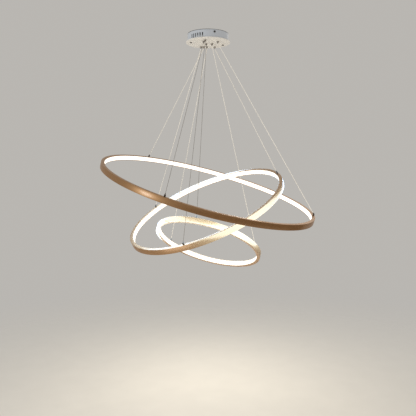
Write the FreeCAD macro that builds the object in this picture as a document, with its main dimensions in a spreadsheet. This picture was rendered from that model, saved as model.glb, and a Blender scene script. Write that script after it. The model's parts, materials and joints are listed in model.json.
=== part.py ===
import FreeCAD, Part
import math
import os
import re

import Sketcher
from FreeCAD import Placement, Rotation, Vector

# A ceiling chandelier of three tilted, nested light rings. Each ring is an aluminium channel that opens
# inwards, with a light strip on its ribs and a milky diffuser in its mouth, and hangs from three cables.
# The nine cables run up to sprung cable grips in the bottom plate of a round canopy, which holds the driver.
# The origin is the centre of the ceiling face. +Z points up and +X to the viewer's right.

# ---------------------------------------------------------------------------------------------------------
# Driving dimensions, in millimetres and degrees
# ---------------------------------------------------------------------------------------------------------

SKETCH_START = 5.0  # half the side of the square that a sketch starts as, before its own sizes hold
RINGS = ("large", "middle", "small")
CABLES = ("a", "b", "c")  # a hangs at the far left of its ring, b at the near side and c at the right

SIZES = {
    # Rings: size, place of the centre, and tilt towards an azimuth
    "large_radius": 400.0,
    "large_centre_x": 2.9,
    "large_centre_y": -0.9,
    "large_drop": 555.8,
    "large_tilt": 17.5,
    "large_tilt_azimuth": -30.6,
    "large_seam_angle": 75.0,
    "middle_radius": 300.0,
    "middle_centre_x": -8.8,
    "middle_centre_y": -3.8,
    "middle_drop": 628.3,
    "middle_tilt": 27.3,
    "middle_tilt_azimuth": -144.5,
    "middle_seam_angle": 75.0,
    "small_radius": 200.0,
    "small_centre_x": 0.0,
    "small_centre_y": 4.8,
    "small_drop": 761.6,
    "small_tilt": 31.8,
    "small_tilt_azimuth": 59.5,
    "small_seam_angle": 75.0,
    # Where each cable meets its ring: angle round the ring
    "large_a_rim_angle": 133.3,
    "large_b_rim_angle": -109.4,
    "large_c_rim_angle": -5.8,
    "middle_a_rim_angle": 134.2,
    "middle_b_rim_angle": -107.0,
    "middle_c_rim_angle": 6.3,
    "small_a_rim_angle": 140.1,
    "small_b_rim_angle": -107.1,
    "small_c_rim_angle": 8.2,
    # Where each cable leaves the canopy plate
    "large_a_hole_radius": 53.5,
    "large_a_hole_azimuth": 107.5,
    "large_b_hole_radius": 31.0,
    "large_b_hole_azimuth": -121.0,
    "large_c_hole_radius": 42.5,
    "large_c_hole_azimuth": -34.5,
    "middle_a_hole_radius": 60.0,
    "middle_a_hole_azimuth": 116.0,
    "middle_b_hole_radius": 46.5,
    "middle_b_hole_azimuth": -102.5,
    "middle_c_hole_radius": 60.5,
    "middle_c_hole_azimuth": 66.0,
    "small_a_hole_radius": 51.0,
    "small_a_hole_azimuth": 94.5,
    "small_b_hole_radius": 10.0,
    "small_b_hole_azimuth": 130.0,
    "small_c_hole_radius": 16.5,
    "small_c_hole_azimuth": 30.0,
    # Ring channel
    "rim_height": 20.0,
    "rim_depth": 12.0,
    "rim_wall": 1.2,
    "rib_depth": 1.6,
    "rib_height": 1.8,
    "lip_depth": 0.8,
    "lip_height": 0.6,
    "seam_gap": 0.2,
    # Diffuser, light strip and chips
    "diffuser_body": 2.6,
    "diffuser_proud": 0.4,
    "board_margin": 1.2,
    "board_thickness": 0.8,
    "chip_length": 2.8,
    "chip_width": 3.5,
    "chip_thickness": 0.8,
    "chip_pitch": 25.0,
    "chip_clearance": 0.05,
    # Splice at the channel's seam
    "splice_length": 40.0,
    "splice_thickness": 1.4,
    "splice_screw_radius": 1.5,
    "splice_head_radius": 2.5,
    "splice_head_depth": 0.6,
    # Cable studs on the ring
    "stud_inset": 5.6,
    "stud_radius": 3.0,
    "stud_length": 5.0,
    "stud_stem_radius": 2.0,
    "rivet_radius": 2.5,
    "rivet_thickness": 1.0,
    "ferrule_radius": 1.6,
    "ferrule_length": 6.0,
    # Cables: a and c feed the ring through a clear jacket, b is bare steel rope
    "feed_cable_radius": 0.9,
    "steel_cable_radius": 0.6,
    "cable_gap": 0.3,
    # Cable grips in the canopy plate
    "flange_radius": 4.6,
    "flange_thickness": 1.2,
    "skirt_top_radius": 4.4,
    "skirt_bottom_radius": 2.5,
    "skirt_length": 4.5,
    "stem_radius": 3.0,
    "stem_length": 11.5,
    "stem_roof": 1.0,
    "chamber_radius": 2.15,
    "chamber_floor": 2.2,
    "plunger_radius": 1.75,
    "plunger_reach": 2.6,
    "plunger_head_radius": 2.1,
    "plunger_head_length": 2.0,
    "plunger_bore_radius": 1.05,
    "spring_outer_radius": 2.0,
    "spring_inner_radius": 1.35,
    "nut_radius": 5.0,
    "nut_height": 2.5,
    "tail_rise": 3.5,
    # Canopy shell
    "canopy_depth": 30.0,
    "plate_thickness": 2.5,
    "plate_edge_round": 1.0,
    "drum_radius": 74.0,
    "drum_wall": 1.2,
    "plate_overhang": 6.0,
    "ceiling_gap": 1.0,
    "vent_count": 6.0,
    "vent_width": 4.0,
    "vent_length": 15.5,
    "vent_rise": 4.0,
    "vent_azimuth": -105.0,
    "vent_step_angle": 7.0,
    "tab_inset": 17.0,
    "tab_width": 14.0,
    "tab_thickness": 2.0,
    "plate_screw_inset": 12.0,
    "left_screw_azimuth": -173.5,
    "right_screw_azimuth": 28.6,
    "plate_screw_radius": 2.0,
    "plate_screw_length": 7.5,
    "plate_head_radius": 4.0,
    "plate_head_height": 1.8,
    # Ceiling bracket and the screws that hold the drum on it
    "bracket_azimuth": -72.0,
    "bracket_width": 24.0,
    "bracket_thickness": 1.5,
    "bracket_round": 0.5,
    "bracket_clearance": 1.3,
    "ear_length": 15.0,
    "ceiling_hole_circle": 70.0,
    "ceiling_hole_radius": 2.6,
    "side_screw_depth": 8.5,
    "side_screw_radius": 2.0,
    "side_screw_length": 7.0,
    "side_head_radius": 3.6,
    "side_head_height": 2.4,
    # Driver and wiring in the canopy
    "driver_wall_gap": 6.0,
    "driver_y": -2.0,
    "driver_length": 72.0,
    "driver_width": 22.0,
    "driver_height": 18.0,
    "driver_round": 2.0,
    "pad_thickness": 1.0,
    "pad_margin": 3.0,
    "block_x": 53.0,
    "block_y": -10.0,
    "block_length": 34.0,
    "block_width": 13.0,
    "block_height": 12.0,
    "block_pole_pitch": 10.0,
    "block_screw_radius": 1.8,
    "block_screw_depth": 4.0,
    "block_round": 1.0,
    "output_x": 5.0,
    "output_y": 30.0,
    "output_length": 30.0,
    "output_width": 14.0,
    "output_height": 9.0,
    "output_round": 1.0,
    "lead_radius": 1.1,
    "lead_pitch": 3.0,
    "lead_rise": 6.0,
    "lead_run": 12.0,
    "lead_wall_gap": 7.0,
    "right_bend_azimuth": -65.0,
    "near_bend_azimuth": -90.0,
    "left_bend_azimuth": -113.5,
    "output_lead_rise": 12.0,
    "output_lead_step": 7.0,
    "output_lead_run": 9.0,
    "earth_x": 53.0,
    "earth_y": 16.0,
    "earth_screw_radius": 2.0,
    "earth_head_radius": 3.8,
    "earth_head_height": 2.2,
    # Clearances
    "slide_clearance": 0.05,
    "fit_clearance": 0.1,
    "hole_clearance": 0.1,
    # How far a cut goes past the surface that it opens
    "cut_past": 1.0,
}

doc = FreeCAD.newDocument("led_ring_chandelier")
sheet = doc.addObject("Spreadsheet::Sheet", "sizes")
for row, (alias, number) in enumerate(SIZES.items(), start=1):
    sheet.set(f"A{row}", alias)
    sheet.set(f"B{row}", str(number))
    sheet.setAlias(f"B{row}", alias)
doc.recompute()

nodes = []


def value(alias):
    """The number that the sheet holds under this alias."""
    return float(getattr(sheet, alias))


def formula(text):
    """An expression in which each alias is written as its cell in the sheet."""
    return re.sub(r"[a-z_]+", lambda word: f"sizes.{word[0]}" if word[0] in SIZES else word[0], text)


def bind(thing, at=(), **expressions):
    """Binds an object's properties, and the place of its base, to the sheet."""
    for name, text in expressions.items():
        thing.setExpression(name, formula(text))
    for axis, text in zip("xyz", at):
        thing.setExpression(f"Placement.Base.{axis}", formula(text))
    return thing


def cylinder(radius, height, at=()):
    """A cylinder that stands on the point at."""
    return bind(doc.addObject("Part::Cylinder", "cylinder"), at, Radius=radius, Height=height)


def cone(low_radius, high_radius, height, at=()):
    """A cut cone that stands on the point at."""
    thing = doc.addObject("Part::Cone", "cone")
    return bind(thing, at, Radius1=low_radius, Radius2=high_radius, Height=height)


def ball(radius, at=()):
    """A sphere about the point at."""
    return bind(doc.addObject("Part::Sphere", "ball"), at, Radius=radius)


def block(length, width, height, at=()):
    """A box along X, Y and Z whose low corner is the point at."""
    return bind(doc.addObject("Part::Box", "block"), at, Length=length, Width=width, Height=height)


def fuse(*things):
    """One solid from several that overlap."""
    joined = doc.addObject("Part::MultiFuse", "joined")
    joined.Shapes = list(things)
    return joined


def cut(base, *tools):
    """The base without its tools."""
    result = doc.addObject("Part::Cut", "cut")
    result.Base = base
    result.Tool = tools[0] if len(tools) == 1 else fuse(*tools)
    return result


def group(*things):
    """Several separate solids as one shape."""
    compound = doc.addObject("Part::Compound", "group")
    compound.Links = list(things)
    return compound


def band(outer, inner, height):
    """A ring of rectangular section, centred on the origin."""
    base = ("0", "0", f"-({height}) / 2")
    return cut(cylinder(outer, height, base), cylinder(inner, height, base))


def put(thing, placement):
    """Moves a finished object to its placement."""
    thing.Placement = placement
    return thing


def node(label, thing):
    """Names a finished sub-part, which is later written to its own file."""
    thing.Label = label
    nodes.append(thing)
    return thing


def polar(radius, azimuth, height=0.0):
    """A point at a distance and azimuth from the Z axis."""
    turn = math.radians(azimuth)
    return Vector(radius * math.cos(turn), radius * math.sin(turn), height)


def turned(azimuth):
    """A placement that turns an object about the Z axis."""
    return Placement(Vector(), Rotation(Vector(0, 0, 1), azimuth))


def pointing(start, direction):
    """A placement that stands an object on start with its Z axis along direction."""
    return Placement(start, Rotation(Vector(0, 0, 1), direction))


def padded_block(label, length, width, height, corner_round):
    """A body padded from a centred rectangle, with its four standing edges rounded."""
    body = doc.addObject("PartDesign::Body", f"{label}_body")
    sketch = body.newObject("Sketcher::SketchObject", f"{label}_outline")
    plane = next(item for item in body.Origin.OriginFeatures if item.Role == "XY_Plane")
    sketch.AttachmentSupport = [(plane, "")]
    sketch.MapMode = "FlatFace"
    signs = ((-1, -1), (1, -1), (1, 1), (-1, 1))
    corners = [Vector(x * SKETCH_START, y * SKETCH_START, 0) for x, y in signs]
    for start, end in zip(corners, corners[1:] + corners[:1]):
        sketch.addGeometry(Part.LineSegment(start, end))
    for side in range(4):
        sketch.addConstraint(Sketcher.Constraint("Coincident", side, 2, (side + 1) % 4, 1))
    for side, way in enumerate(("Horizontal", "Vertical", "Horizontal", "Vertical")):
        sketch.addConstraint(Sketcher.Constraint(way, side))
    sketch.addConstraint(Sketcher.Constraint("Symmetric", 0, 1, 2, 1, -1, 1))
    for side, name, text in ((0, "across", length), (1, "along", width)):
        kind = "DistanceX" if side == 0 else "DistanceY"
        index = sketch.addConstraint(Sketcher.Constraint(kind, side, 1, side, 2, 2 * SKETCH_START))
        sketch.renameConstraint(index, name)
        sketch.setExpression(f"Constraints.{name}", formula(text))
    pad = body.newObject("PartDesign::Pad", f"{label}_pad")
    pad.Profile = sketch
    pad.setExpression("Length", formula(height))
    doc.recompute()
    standing = [
        f"Edge{number}"
        for number, edge in enumerate(pad.Shape.Edges, start=1)
        if abs(edge.tangentAt(edge.FirstParameter).z) > 0.99
    ]
    rounds = body.newObject("PartDesign::Fillet", f"{label}_rounds")
    rounds.Base = (pad, standing)
    rounds.setExpression("Radius", formula(corner_round))
    body.Tip = rounds
    return body


# ---------------------------------------------------------------------------------------------------------
# Places that several sub-parts share
# ---------------------------------------------------------------------------------------------------------

PLATE_TOP = "plate_thickness - canopy_depth"
BELOW_PLATE = "-canopy_depth - cut_past"
THROUGH_PLATE = "plate_thickness + 2 * cut_past"
PLATE_RADIUS = "drum_radius + plate_overhang"
BRACKET_REACH = "drum_radius - drum_wall - bracket_clearance"
TAB_RADIUS = "drum_radius - tab_inset"
SCREW_CIRCLE = "drum_radius - plate_screw_inset"
SKIRT_TIP = "-canopy_depth - flange_thickness - skirt_length"
CHAMBER_FLOOR = f"{SKIRT_TIP} + chamber_floor"
CHAMBER_ROOF = "stem_length - stem_roof - canopy_depth"
NOSE_CENTRE = f"{SKIRT_TIP} - plunger_reach + plunger_radius"
HEAD_TOP = f"{CHAMBER_FLOOR} + slide_clearance + plunger_head_length"


def nose_height():
    """The height of the ball end of each plunger."""
    skirt_tip = -value("canopy_depth") - value("flange_thickness") - value("skirt_length")
    return skirt_tip - value("plunger_reach") + value("plunger_radius")


def hole_place(ring, cable):
    """The centre of a cable's hole in the canopy plate, on the ceiling plane."""
    return polar(value(f"{ring}_{cable}_hole_radius"), value(f"{ring}_{cable}_hole_azimuth"))


def ring_placement(ring):
    """The placement of a ring whose own Z axis leans towards its tilt azimuth."""
    centre = Vector(value(f"{ring}_centre_x"), value(f"{ring}_centre_y"), -value(f"{ring}_drop"))
    azimuth = Rotation(Vector(0, 0, 1), value(f"{ring}_tilt_azimuth"))
    tilt = Rotation(Vector(0, 1, 0), value(f"{ring}_tilt"))
    return Placement(centre, azimuth.multiply(tilt).multiply(azimuth.inverted()))


def stud_place(ring, cable):
    """The centre of a cable stud on the ring's top face, in the ring's own frame."""
    radius = value(f"{ring}_radius") - value("stud_inset")
    return polar(radius, value(f"{ring}_{cable}_rim_angle"), value("rim_height") / 2)


def cable_ends(ring, cable):
    """The centres of the plunger's ball end and of the ring stud's dome, between which a cable is taut."""
    top = hole_place(ring, cable) + Vector(0, 0, nose_height())
    dome = stud_place(ring, cable) + Vector(0, 0, value("stud_length"))
    return top, ring_placement(ring).multVec(dome)


def cable_radius(cable):
    """The alias of a cable's radius: the near one is bare steel rope and the others feed the ring."""
    return "steel_cable_radius" if cable == "b" else "feed_cable_radius"


HOLES = {(ring, cable): hole_place(ring, cable) for ring in RINGS for cable in CABLES}


def at_each_hole(make):
    """A group of solids, one at each cable's hole, from a function that makes one on the Z axis."""
    return group(
        *[put(group(make(cable)), Placement(place, Rotation())) for (_, cable), place in HOLES.items()]
    )


# ---------------------------------------------------------------------------------------------------------
# Canopy: ceiling bracket, drum, plate and their screws
# ---------------------------------------------------------------------------------------------------------


def on_drum_side(thing):
    """Moves an object onto the drum's wall at the height of the side screws, with its Z axis along +X."""
    place = Vector(value("drum_radius"), 0, -value("side_screw_depth"))
    return put(group(thing), pointing(place, Vector(1, 0, 0)))


def at_both_ends(make):
    """Two solids at the bracket's two ends, from a function that makes one on the +X side."""
    azimuth = value("bracket_azimuth")
    return [put(group(make()), turned(azimuth + half_turn)) for half_turn in (0, 180)]


def ceiling_bracket():
    """A steel strip on the ceiling with an ear bent down at each end and two screw holes."""
    strip = padded_block(
        "strip", f"2 * ({BRACKET_REACH})", "bracket_width", "bracket_thickness", "bracket_round"
    )
    strip.setExpression("Placement.Base.z", formula("-bracket_thickness"))
    ears = []
    for inner_face in (f"{BRACKET_REACH} - bracket_thickness", f"-({BRACKET_REACH})"):
        corner = (inner_face, "-bracket_width / 2", "-ear_length")
        ears.append(block("bracket_thickness", "bracket_width", "ear_length", corner))
    holes = []
    for side in ("", "-"):
        place = (f"{side}ceiling_hole_circle / 2", "0", "-2 * bracket_thickness")
        holes.append(cylinder("ceiling_hole_radius", "3 * bracket_thickness", place))
    thread = cylinder(
        "side_screw_radius + slide_clearance", "2 * drum_radius", ("0", "0", "-2 * drum_radius")
    )
    bracket = cut(fuse(strip, *ears), *holes, on_drum_side(thread))
    return put(group(bracket), turned(value("bracket_azimuth")))


def side_screw():
    """A screw through the drum's wall into an ear of the bracket, on the +X side."""
    shank = cylinder("side_screw_radius", "side_screw_length", ("0", "0", "-side_screw_length"))
    head = cylinder("side_head_radius", "side_head_height")
    return on_drum_side(fuse(shank, head))


def side_screw_hole():
    """The space of a side screw in the drum's wall."""
    hole = cylinder(
        "side_screw_radius + hole_clearance", "2 * drum_wall + 2 * cut_past", ("0", "0", "-2 * drum_wall")
    )
    return on_drum_side(hole)


def plate_screw_azimuths():
    """The azimuths of the two screws that hold the plate under the drum."""
    return value("left_screw_azimuth"), value("right_screw_azimuth")


def plate_screw():
    """A screw up through the plate and a tab of the drum, with its head below, on the +X side."""
    shank = cylinder("plate_screw_radius", "plate_screw_length", (SCREW_CIRCLE, "0", "-canopy_depth"))
    head_base = (SCREW_CIRCLE, "0", "-canopy_depth - plate_head_height")
    return fuse(shank, cylinder("plate_head_radius", "plate_head_height", head_base))


def plate_screw_holes(clearance):
    """The spaces of the two plate screws in a piece that they pass through."""
    holes = []
    for azimuth in plate_screw_azimuths():
        base = (SCREW_CIRCLE, "0", BELOW_PLATE)
        hole = cylinder(f"plate_screw_radius + {clearance}", "plate_screw_length + cut_past", base)
        holes.append(put(group(hole), turned(azimuth)))
    return holes


def canopy_drum():
    """The round wall of the canopy, with its vents, screw holes and tabs for the plate's screws."""
    height = "canopy_depth - plate_thickness - ceiling_gap"
    base = ("0", "0", PLATE_TOP)
    wall = cut(
        cylinder("drum_radius", height, base),
        cylinder("drum_radius - drum_wall", height, base),
    )
    tabs = []
    for azimuth in plate_screw_azimuths():
        corner = (TAB_RADIUS, "-tab_width / 2", PLATE_TOP)
        reach = "tab_inset - drum_wall / 2 - tab_width * tab_width / drum_radius / 8"
        tab = block(reach, "tab_width", "tab_thickness", corner)
        tabs.append(put(group(tab), turned(azimuth)))
    vents = []
    for index in range(int(value("vent_count"))):
        for half_turn in (0, 180):
            corner = ("drum_radius - 3 * drum_wall", "-vent_width / 2", "vent_rise - canopy_depth")
            vent = block("6 * drum_wall", "vent_width", "vent_length", corner)
            azimuth = value("vent_azimuth") - index * value("vent_step_angle") + half_turn
            vents.append(put(group(vent), turned(azimuth)))
    screws = at_both_ends(side_screw_hole)
    return cut(fuse(wall, *tabs), *vents, *screws, *plate_screw_holes("slide_clearance"))


def canopy_plate():
    """The round plate under the drum, with a rounded lower edge and holes for grips and screws."""
    disc = cylinder(PLATE_RADIUS, "plate_thickness", ("0", "0", "-canopy_depth"))
    doc.recompute()
    edge = next(
        number
        for number, item in enumerate(disc.Shape.Edges, start=1)
        if item.Closed and item.BoundBox.ZMax < value("plate_thickness") / 2 - value("canopy_depth")
    )
    rounded = doc.addObject("Part::Fillet", "rounded_disc")
    rounded.Base = disc
    rounded.Edges = [(edge, value("plate_edge_round"), value("plate_edge_round"))]
    holes = plate_screw_holes("hole_clearance")
    for place in HOLES.values():
        hole = cylinder("stem_radius + hole_clearance", THROUGH_PLATE, ("0", "0", BELOW_PLATE))
        holes.append(put(group(hole), Placement(place, Rotation())))
    earth_base = ("earth_x", "earth_y", BELOW_PLATE)
    holes.append(cylinder("earth_screw_radius + slide_clearance", THROUGH_PLATE, earth_base))
    return cut(rounded, *holes)


def plate_screws():
    """The two screws that hold the plate, with their heads under it."""
    return group(*[put(group(plate_screw()), turned(azimuth)) for azimuth in plate_screw_azimuths()])


# ---------------------------------------------------------------------------------------------------------
# Driver, terminal blocks and leads in the canopy
# ---------------------------------------------------------------------------------------------------------


def driver_place():
    """The centre of the driver: its outer corners keep a gap to the drum's wall."""
    free_radius = value("drum_radius") - value("drum_wall") - value("driver_wall_gap")
    corner_y = value("driver_length") / 2 + abs(value("driver_y"))
    outer_face = -math.sqrt(free_radius**2 - corner_y**2)
    return Vector(outer_face + value("driver_width") / 2, value("driver_y"), 0)


def driver_pad():
    """The adhesive pad that holds the driver on the plate."""
    corner = ("pad_margin - driver_width / 2", "pad_margin - driver_length / 2", PLATE_TOP)
    pad = block("driver_width - 2 * pad_margin", "driver_length - 2 * pad_margin", "pad_thickness", corner)
    return put(group(pad), Placement(driver_place(), Rotation()))


def driver_case():
    """The driver's closed case."""
    case = padded_block("driver", "driver_width", "driver_length", "driver_height", "driver_round")
    case.setExpression("Placement.Base.z", formula(f"{PLATE_TOP} + pad_thickness"))
    return put(group(case), Placement(driver_place(), Rotation()))


def block_screws(radius):
    """Solids in the place of the three terminal screws of the mains block."""
    low = f"{PLATE_TOP} + block_height - block_screw_depth"
    places = [("block_x", f"block_y + ({step}) * block_pole_pitch", low) for step in (-1, 0, 1)]
    return [cylinder(radius, "block_screw_depth", place) for place in places]


def mains_block():
    """The terminal block for the ceiling's own wires."""
    housing = padded_block("mains", "block_width", "block_length", "block_height", "block_round")
    bind(housing, ("block_x", "block_y", PLATE_TOP))
    return cut(housing, *block_screws("block_screw_radius + slide_clearance"))


def output_block():
    """The block where the driver's output meets the feed cables."""
    housing = padded_block("output", "output_length", "output_width", "output_height", "output_round")
    return bind(housing, ("output_x", "output_y", PLATE_TOP))


def earth_screw():
    """The earth screw, in a threaded hole of the plate."""
    shank = cylinder("earth_screw_radius", "plate_thickness", ("earth_x", "earth_y", "-canopy_depth"))
    head = cylinder("earth_head_radius", "earth_head_height", ("earth_x", "earth_y", PLATE_TOP))
    return fuse(shank, head)


def rounded_path(points):
    """A wire of straight runs joined by tangent arcs, each as large as its two runs allow."""
    edges = []
    start = points[0]
    for before, corner, after in zip(points, points[1:], points[2:]):
        arriving = (corner - before).normalize()
        leaving = (after - corner).normalize()
        reach = 0.45 * min((corner - before).Length, (after - corner).Length)
        half_turn = arriving.getAngle(leaving) / 2
        bend_radius = reach / math.tan(half_turn)
        inward = (leaving - arriving).normalize()
        apex = corner + inward * (bend_radius / math.cos(half_turn) - bend_radius)
        arc_start = corner - arriving * reach
        arc_end = corner + leaving * reach
        edges.append(Part.LineSegment(start, arc_start).toShape())
        edges.append(Part.Arc(arc_start, apex, arc_end).toShape())
        print(f"lead bend radius {bend_radius:.1f} mm")
        start = arc_end
    edges.append(Part.LineSegment(start, points[-1]).toShape())
    return Part.Wire(edges)


def lead(points, radius):
    """A round lead along a path."""
    path = rounded_path(points)
    circle = Part.Circle(points[0], points[1] - points[0], radius).toShape()
    return path.makePipeShell([Part.Wire([circle])], True, True)


def lead_pair(points):
    """Two leads, one above the other, as one shape."""
    levels = [value("lead_rise") + step * value("lead_pitch") for step in (0, 1)]
    floor = value("plate_thickness") - value("canopy_depth")
    pair = doc.addObject("Part::Feature", "lead_pair")
    pair.Shape = Part.makeCompound(
        [lead([Vector(x, y, floor + level) for x, y in points], value("lead_radius")) for level in levels]
    )
    return pair


def mains_leads():
    """The two leads from the mains block round the near side to the driver."""
    driver = driver_place()
    block_face = value("block_y") - value("block_length") / 2
    driver_face = driver.y - value("driver_length") / 2
    bend_radius = value("drum_radius") - value("drum_wall") - value("lead_wall_gap")
    bends = [
        polar(bend_radius, value(azimuth))
        for azimuth in ("right_bend_azimuth", "near_bend_azimuth", "left_bend_azimuth")
    ]
    points = [
        (value("block_x"), block_face),
        (value("block_x"), block_face - value("lead_run")),
        *[(bend.x, bend.y) for bend in bends],
        (driver.x, driver_face - value("lead_run")),
        (driver.x, driver_face),
    ]
    return lead_pair(points)


def output_leads():
    """The two leads from the driver's far end to the output block."""
    driver = driver_place()
    start = driver.x + value("driver_width") / 4
    driver_end = driver.y + value("driver_length") / 2
    output_face = value("output_x") - value("output_length") / 2
    step = value("output_lead_step")
    top = driver_end + value("output_lead_rise")
    points = [
        (start, driver_end),
        (start, top - step / 2),
        (start + step, top),
        (start + 2 * step, top - step / 2),
        (output_face - value("output_lead_run"), value("output_y")),
        (output_face, value("output_y")),
    ]
    return lead_pair(points)


# ---------------------------------------------------------------------------------------------------------
# Cable grips
# ---------------------------------------------------------------------------------------------------------


def grip_body(_cable):
    """A threaded stem through the plate over a flange and a tapered skirt, bored for plunger and spring."""
    skirt = cone("skirt_bottom_radius", "skirt_top_radius", "skirt_length", ("0", "0", SKIRT_TIP))
    flange_base = ("0", "0", "-canopy_depth - flange_thickness")
    flange = cylinder("flange_radius", "flange_thickness", flange_base)
    stem = cylinder("stem_radius", "stem_length + flange_thickness", flange_base)
    chamber = cylinder("chamber_radius", f"{CHAMBER_ROOF} - ({CHAMBER_FLOOR})", ("0", "0", CHAMBER_FLOOR))
    mouth_base = ("0", "0", f"{SKIRT_TIP} - cut_past")
    mouth = cylinder("plunger_radius + slide_clearance", "chamber_floor + 2 * cut_past", mouth_base)
    outlet_base = ("0", "0", f"{CHAMBER_ROOF} - cut_past")
    outlet = cylinder("plunger_bore_radius", "stem_roof + 2 * cut_past", outlet_base)
    return cut(fuse(skirt, flange, stem), chamber, mouth, outlet)


def grip_nut(_cable):
    """The hexagonal nut that clamps a grip on the plate."""
    blank = doc.addObject("Part::Prism", "hexagon")
    blank.Polygon = 6
    bind(blank, ("0", "0", PLATE_TOP), Circumradius="nut_radius", Height="nut_height")
    return cut(blank, cylinder("stem_radius + slide_clearance", "nut_height", ("0", "0", PLATE_TOP)))


def grip_spring(_cable):
    """The space of the spring that pushes a plunger down, as a plain sleeve."""
    low = f"{HEAD_TOP} + slide_clearance"
    height = f"{CHAMBER_ROOF} - ({low})"
    return cut(
        cylinder("spring_outer_radius", height, ("0", "0", low)),
        cylinder("spring_inner_radius", height, ("0", "0", low)),
    )


def plunger(cable):
    """The button that frees the cable when it is pushed up: shaft, collar, ball end and bore."""
    shaft = cylinder("plunger_radius", f"{HEAD_TOP} - ({NOSE_CENTRE})", ("0", "0", NOSE_CENTRE))
    collar_base = f"{CHAMBER_FLOOR} + slide_clearance"
    collar = cylinder("plunger_head_radius", "plunger_head_length", ("0", "0", collar_base))
    nose = ball("plunger_radius", ("0", "0", NOSE_CENTRE))
    bore_base = f"{NOSE_CENTRE} - 2 * plunger_radius"
    bore = cylinder("plunger_bore_radius", "stem_length + canopy_depth", ("0", "0", bore_base))
    return cut(fuse(shaft, collar, nose), bore)


def cable_tail(cable):
    """The upright end of a cable, through its plunger and grip into the canopy."""
    height = f"stem_length + tail_rise - canopy_depth - ({NOSE_CENTRE})"
    return cylinder(cable_radius(cable), height, ("0", "0", NOSE_CENTRE))


# ---------------------------------------------------------------------------------------------------------
# Cables and rings
# ---------------------------------------------------------------------------------------------------------


def hanging_cable(ring, cable):
    """The taut run of a cable from just below its plunger to the ferrule of its ring stud."""
    top, bottom = cable_ends(ring, cable)
    down = (bottom - top).normalize()
    start = top + down * (value("plunger_radius") + value("cable_gap"))
    end = bottom - down * (value("ferrule_length") + value("cable_gap"))
    run = bind(doc.addObject("Part::Cylinder", "run"), Radius=cable_radius(cable))
    run.Height = (end - start).Length
    print(f"{ring} cable {cable} runs straight for {(end - start).Length:.1f} mm")
    return put(run, pointing(start, down))


def splice_screw_angles(ring):
    """The angles of the two splice screws, one on each side of the seam."""
    step = math.degrees(value("splice_length") / 4 / value(f"{ring}_radius"))
    return [value(f"{ring}_seam_angle") + side * step for side in (-1, 1)]


def splice_screw(ring, clearance, past):
    """A flat-headed screw that points inwards through web and splice plate, on the +X side."""
    depth = "rim_wall + fit_clearance + splice_thickness"
    shank = cylinder(f"splice_screw_radius + {clearance}", f"{depth} + ({past})", ("0", "0", f"-({depth})"))
    head = cylinder(
        f"splice_head_radius + {clearance}", f"splice_head_depth + ({past})", ("0", "0", "-splice_head_depth")
    )
    place = Vector(value(f"{ring}_radius"), 0, 0)
    return put(group(fuse(shank, head)), pointing(place, Vector(1, 0, 0)))


def splice_screws(ring, clearance="0", past="-slide_clearance"):
    """The two screws that hold the splice plate, or the spaces for them."""
    screws = []
    for angle in splice_screw_angles(ring):
        screws.append(put(group(splice_screw(ring, clearance, past)), turned(angle)))
    return group(*screws)


def rim_channel(ring):
    """The aluminium channel: web outside, two walls with ribs for the board and lips for the diffuser."""
    outer = f"{ring}_radius"
    inner = f"{outer} - rim_depth"
    past = f"{inner} - cut_past"
    clear_height = "rim_height - 2 * rim_wall"
    behind_ribs = band(f"{outer} - rim_wall", past, f"{clear_height} - 2 * rib_height")
    ribs_to_lips = band(f"{outer} - rim_wall - rib_depth", f"{inner} + lip_depth", clear_height)
    mouth = band(f"{outer} - rim_wall - rib_depth", past, f"{clear_height} - 2 * lip_height")
    full = band(outer, inner, "rim_height")
    seam_corner = (past, "-seam_gap / 2", "-rim_height")
    seam = put(
        group(block("rim_depth + 2 * cut_past", "seam_gap", "2 * rim_height", seam_corner)),
        turned(value(f"{ring}_seam_angle")),
    )
    screws = splice_screws(ring, "slide_clearance", "cut_past")
    holes = []
    for cable in CABLES:
        hole_base = ("0", "0", "-rim_wall - cut_past")
        hole = cylinder("stud_stem_radius + slide_clearance", "rim_wall + 2 * cut_past", hole_base)
        holes.append(put(group(hole), Placement(stud_place(ring, cable), Rotation())))
    return cut(full, behind_ribs, ribs_to_lips, mouth, seam, screws, *holes)


def diffuser(ring):
    """The milky strip that snaps in behind the lips and stands a little proud of the mouth."""
    inner = f"{ring}_radius - rim_depth"
    behind_lips = f"{inner} + lip_depth + fit_clearance"
    clear_height = "rim_height - 2 * rim_wall - 2 * fit_clearance"
    body = band(f"{behind_lips} + diffuser_body", behind_lips, clear_height)
    overlap = f"{behind_lips} + diffuser_body / 2"
    front = band(overlap, f"{inner} - diffuser_proud", f"{clear_height} - 2 * lip_height")
    return fuse(body, front)


def led_board(ring):
    """The flexible light strip's board, which lies on the channel's ribs."""
    seat = f"{ring}_radius - rim_wall - rib_depth"
    return band(seat, f"{seat} - board_thickness", "rim_height - 2 * rim_wall - 2 * board_margin")


def led_chips(ring):
    """The light strip's chips, at an even pitch round the board."""
    face = value(f"{ring}_radius") - value("rim_wall") - value("rib_depth") - value("board_thickness")
    inner = face - value("chip_clearance") - value("chip_thickness")
    corner = Vector(inner, -value("chip_length") / 2, -value("chip_width") / 2)
    chip = Part.makeBox(value("chip_thickness"), value("chip_length"), value("chip_width"), corner)
    count = round(2 * math.pi * face / value("chip_pitch"))
    chips = doc.addObject("Part::Feature", "chips")
    chips.Shape = Part.makeCompound(
        [chip.rotated(Vector(), Vector(0, 0, 1), index * 360 / count) for index in range(count)]
    )
    return chips


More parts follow.
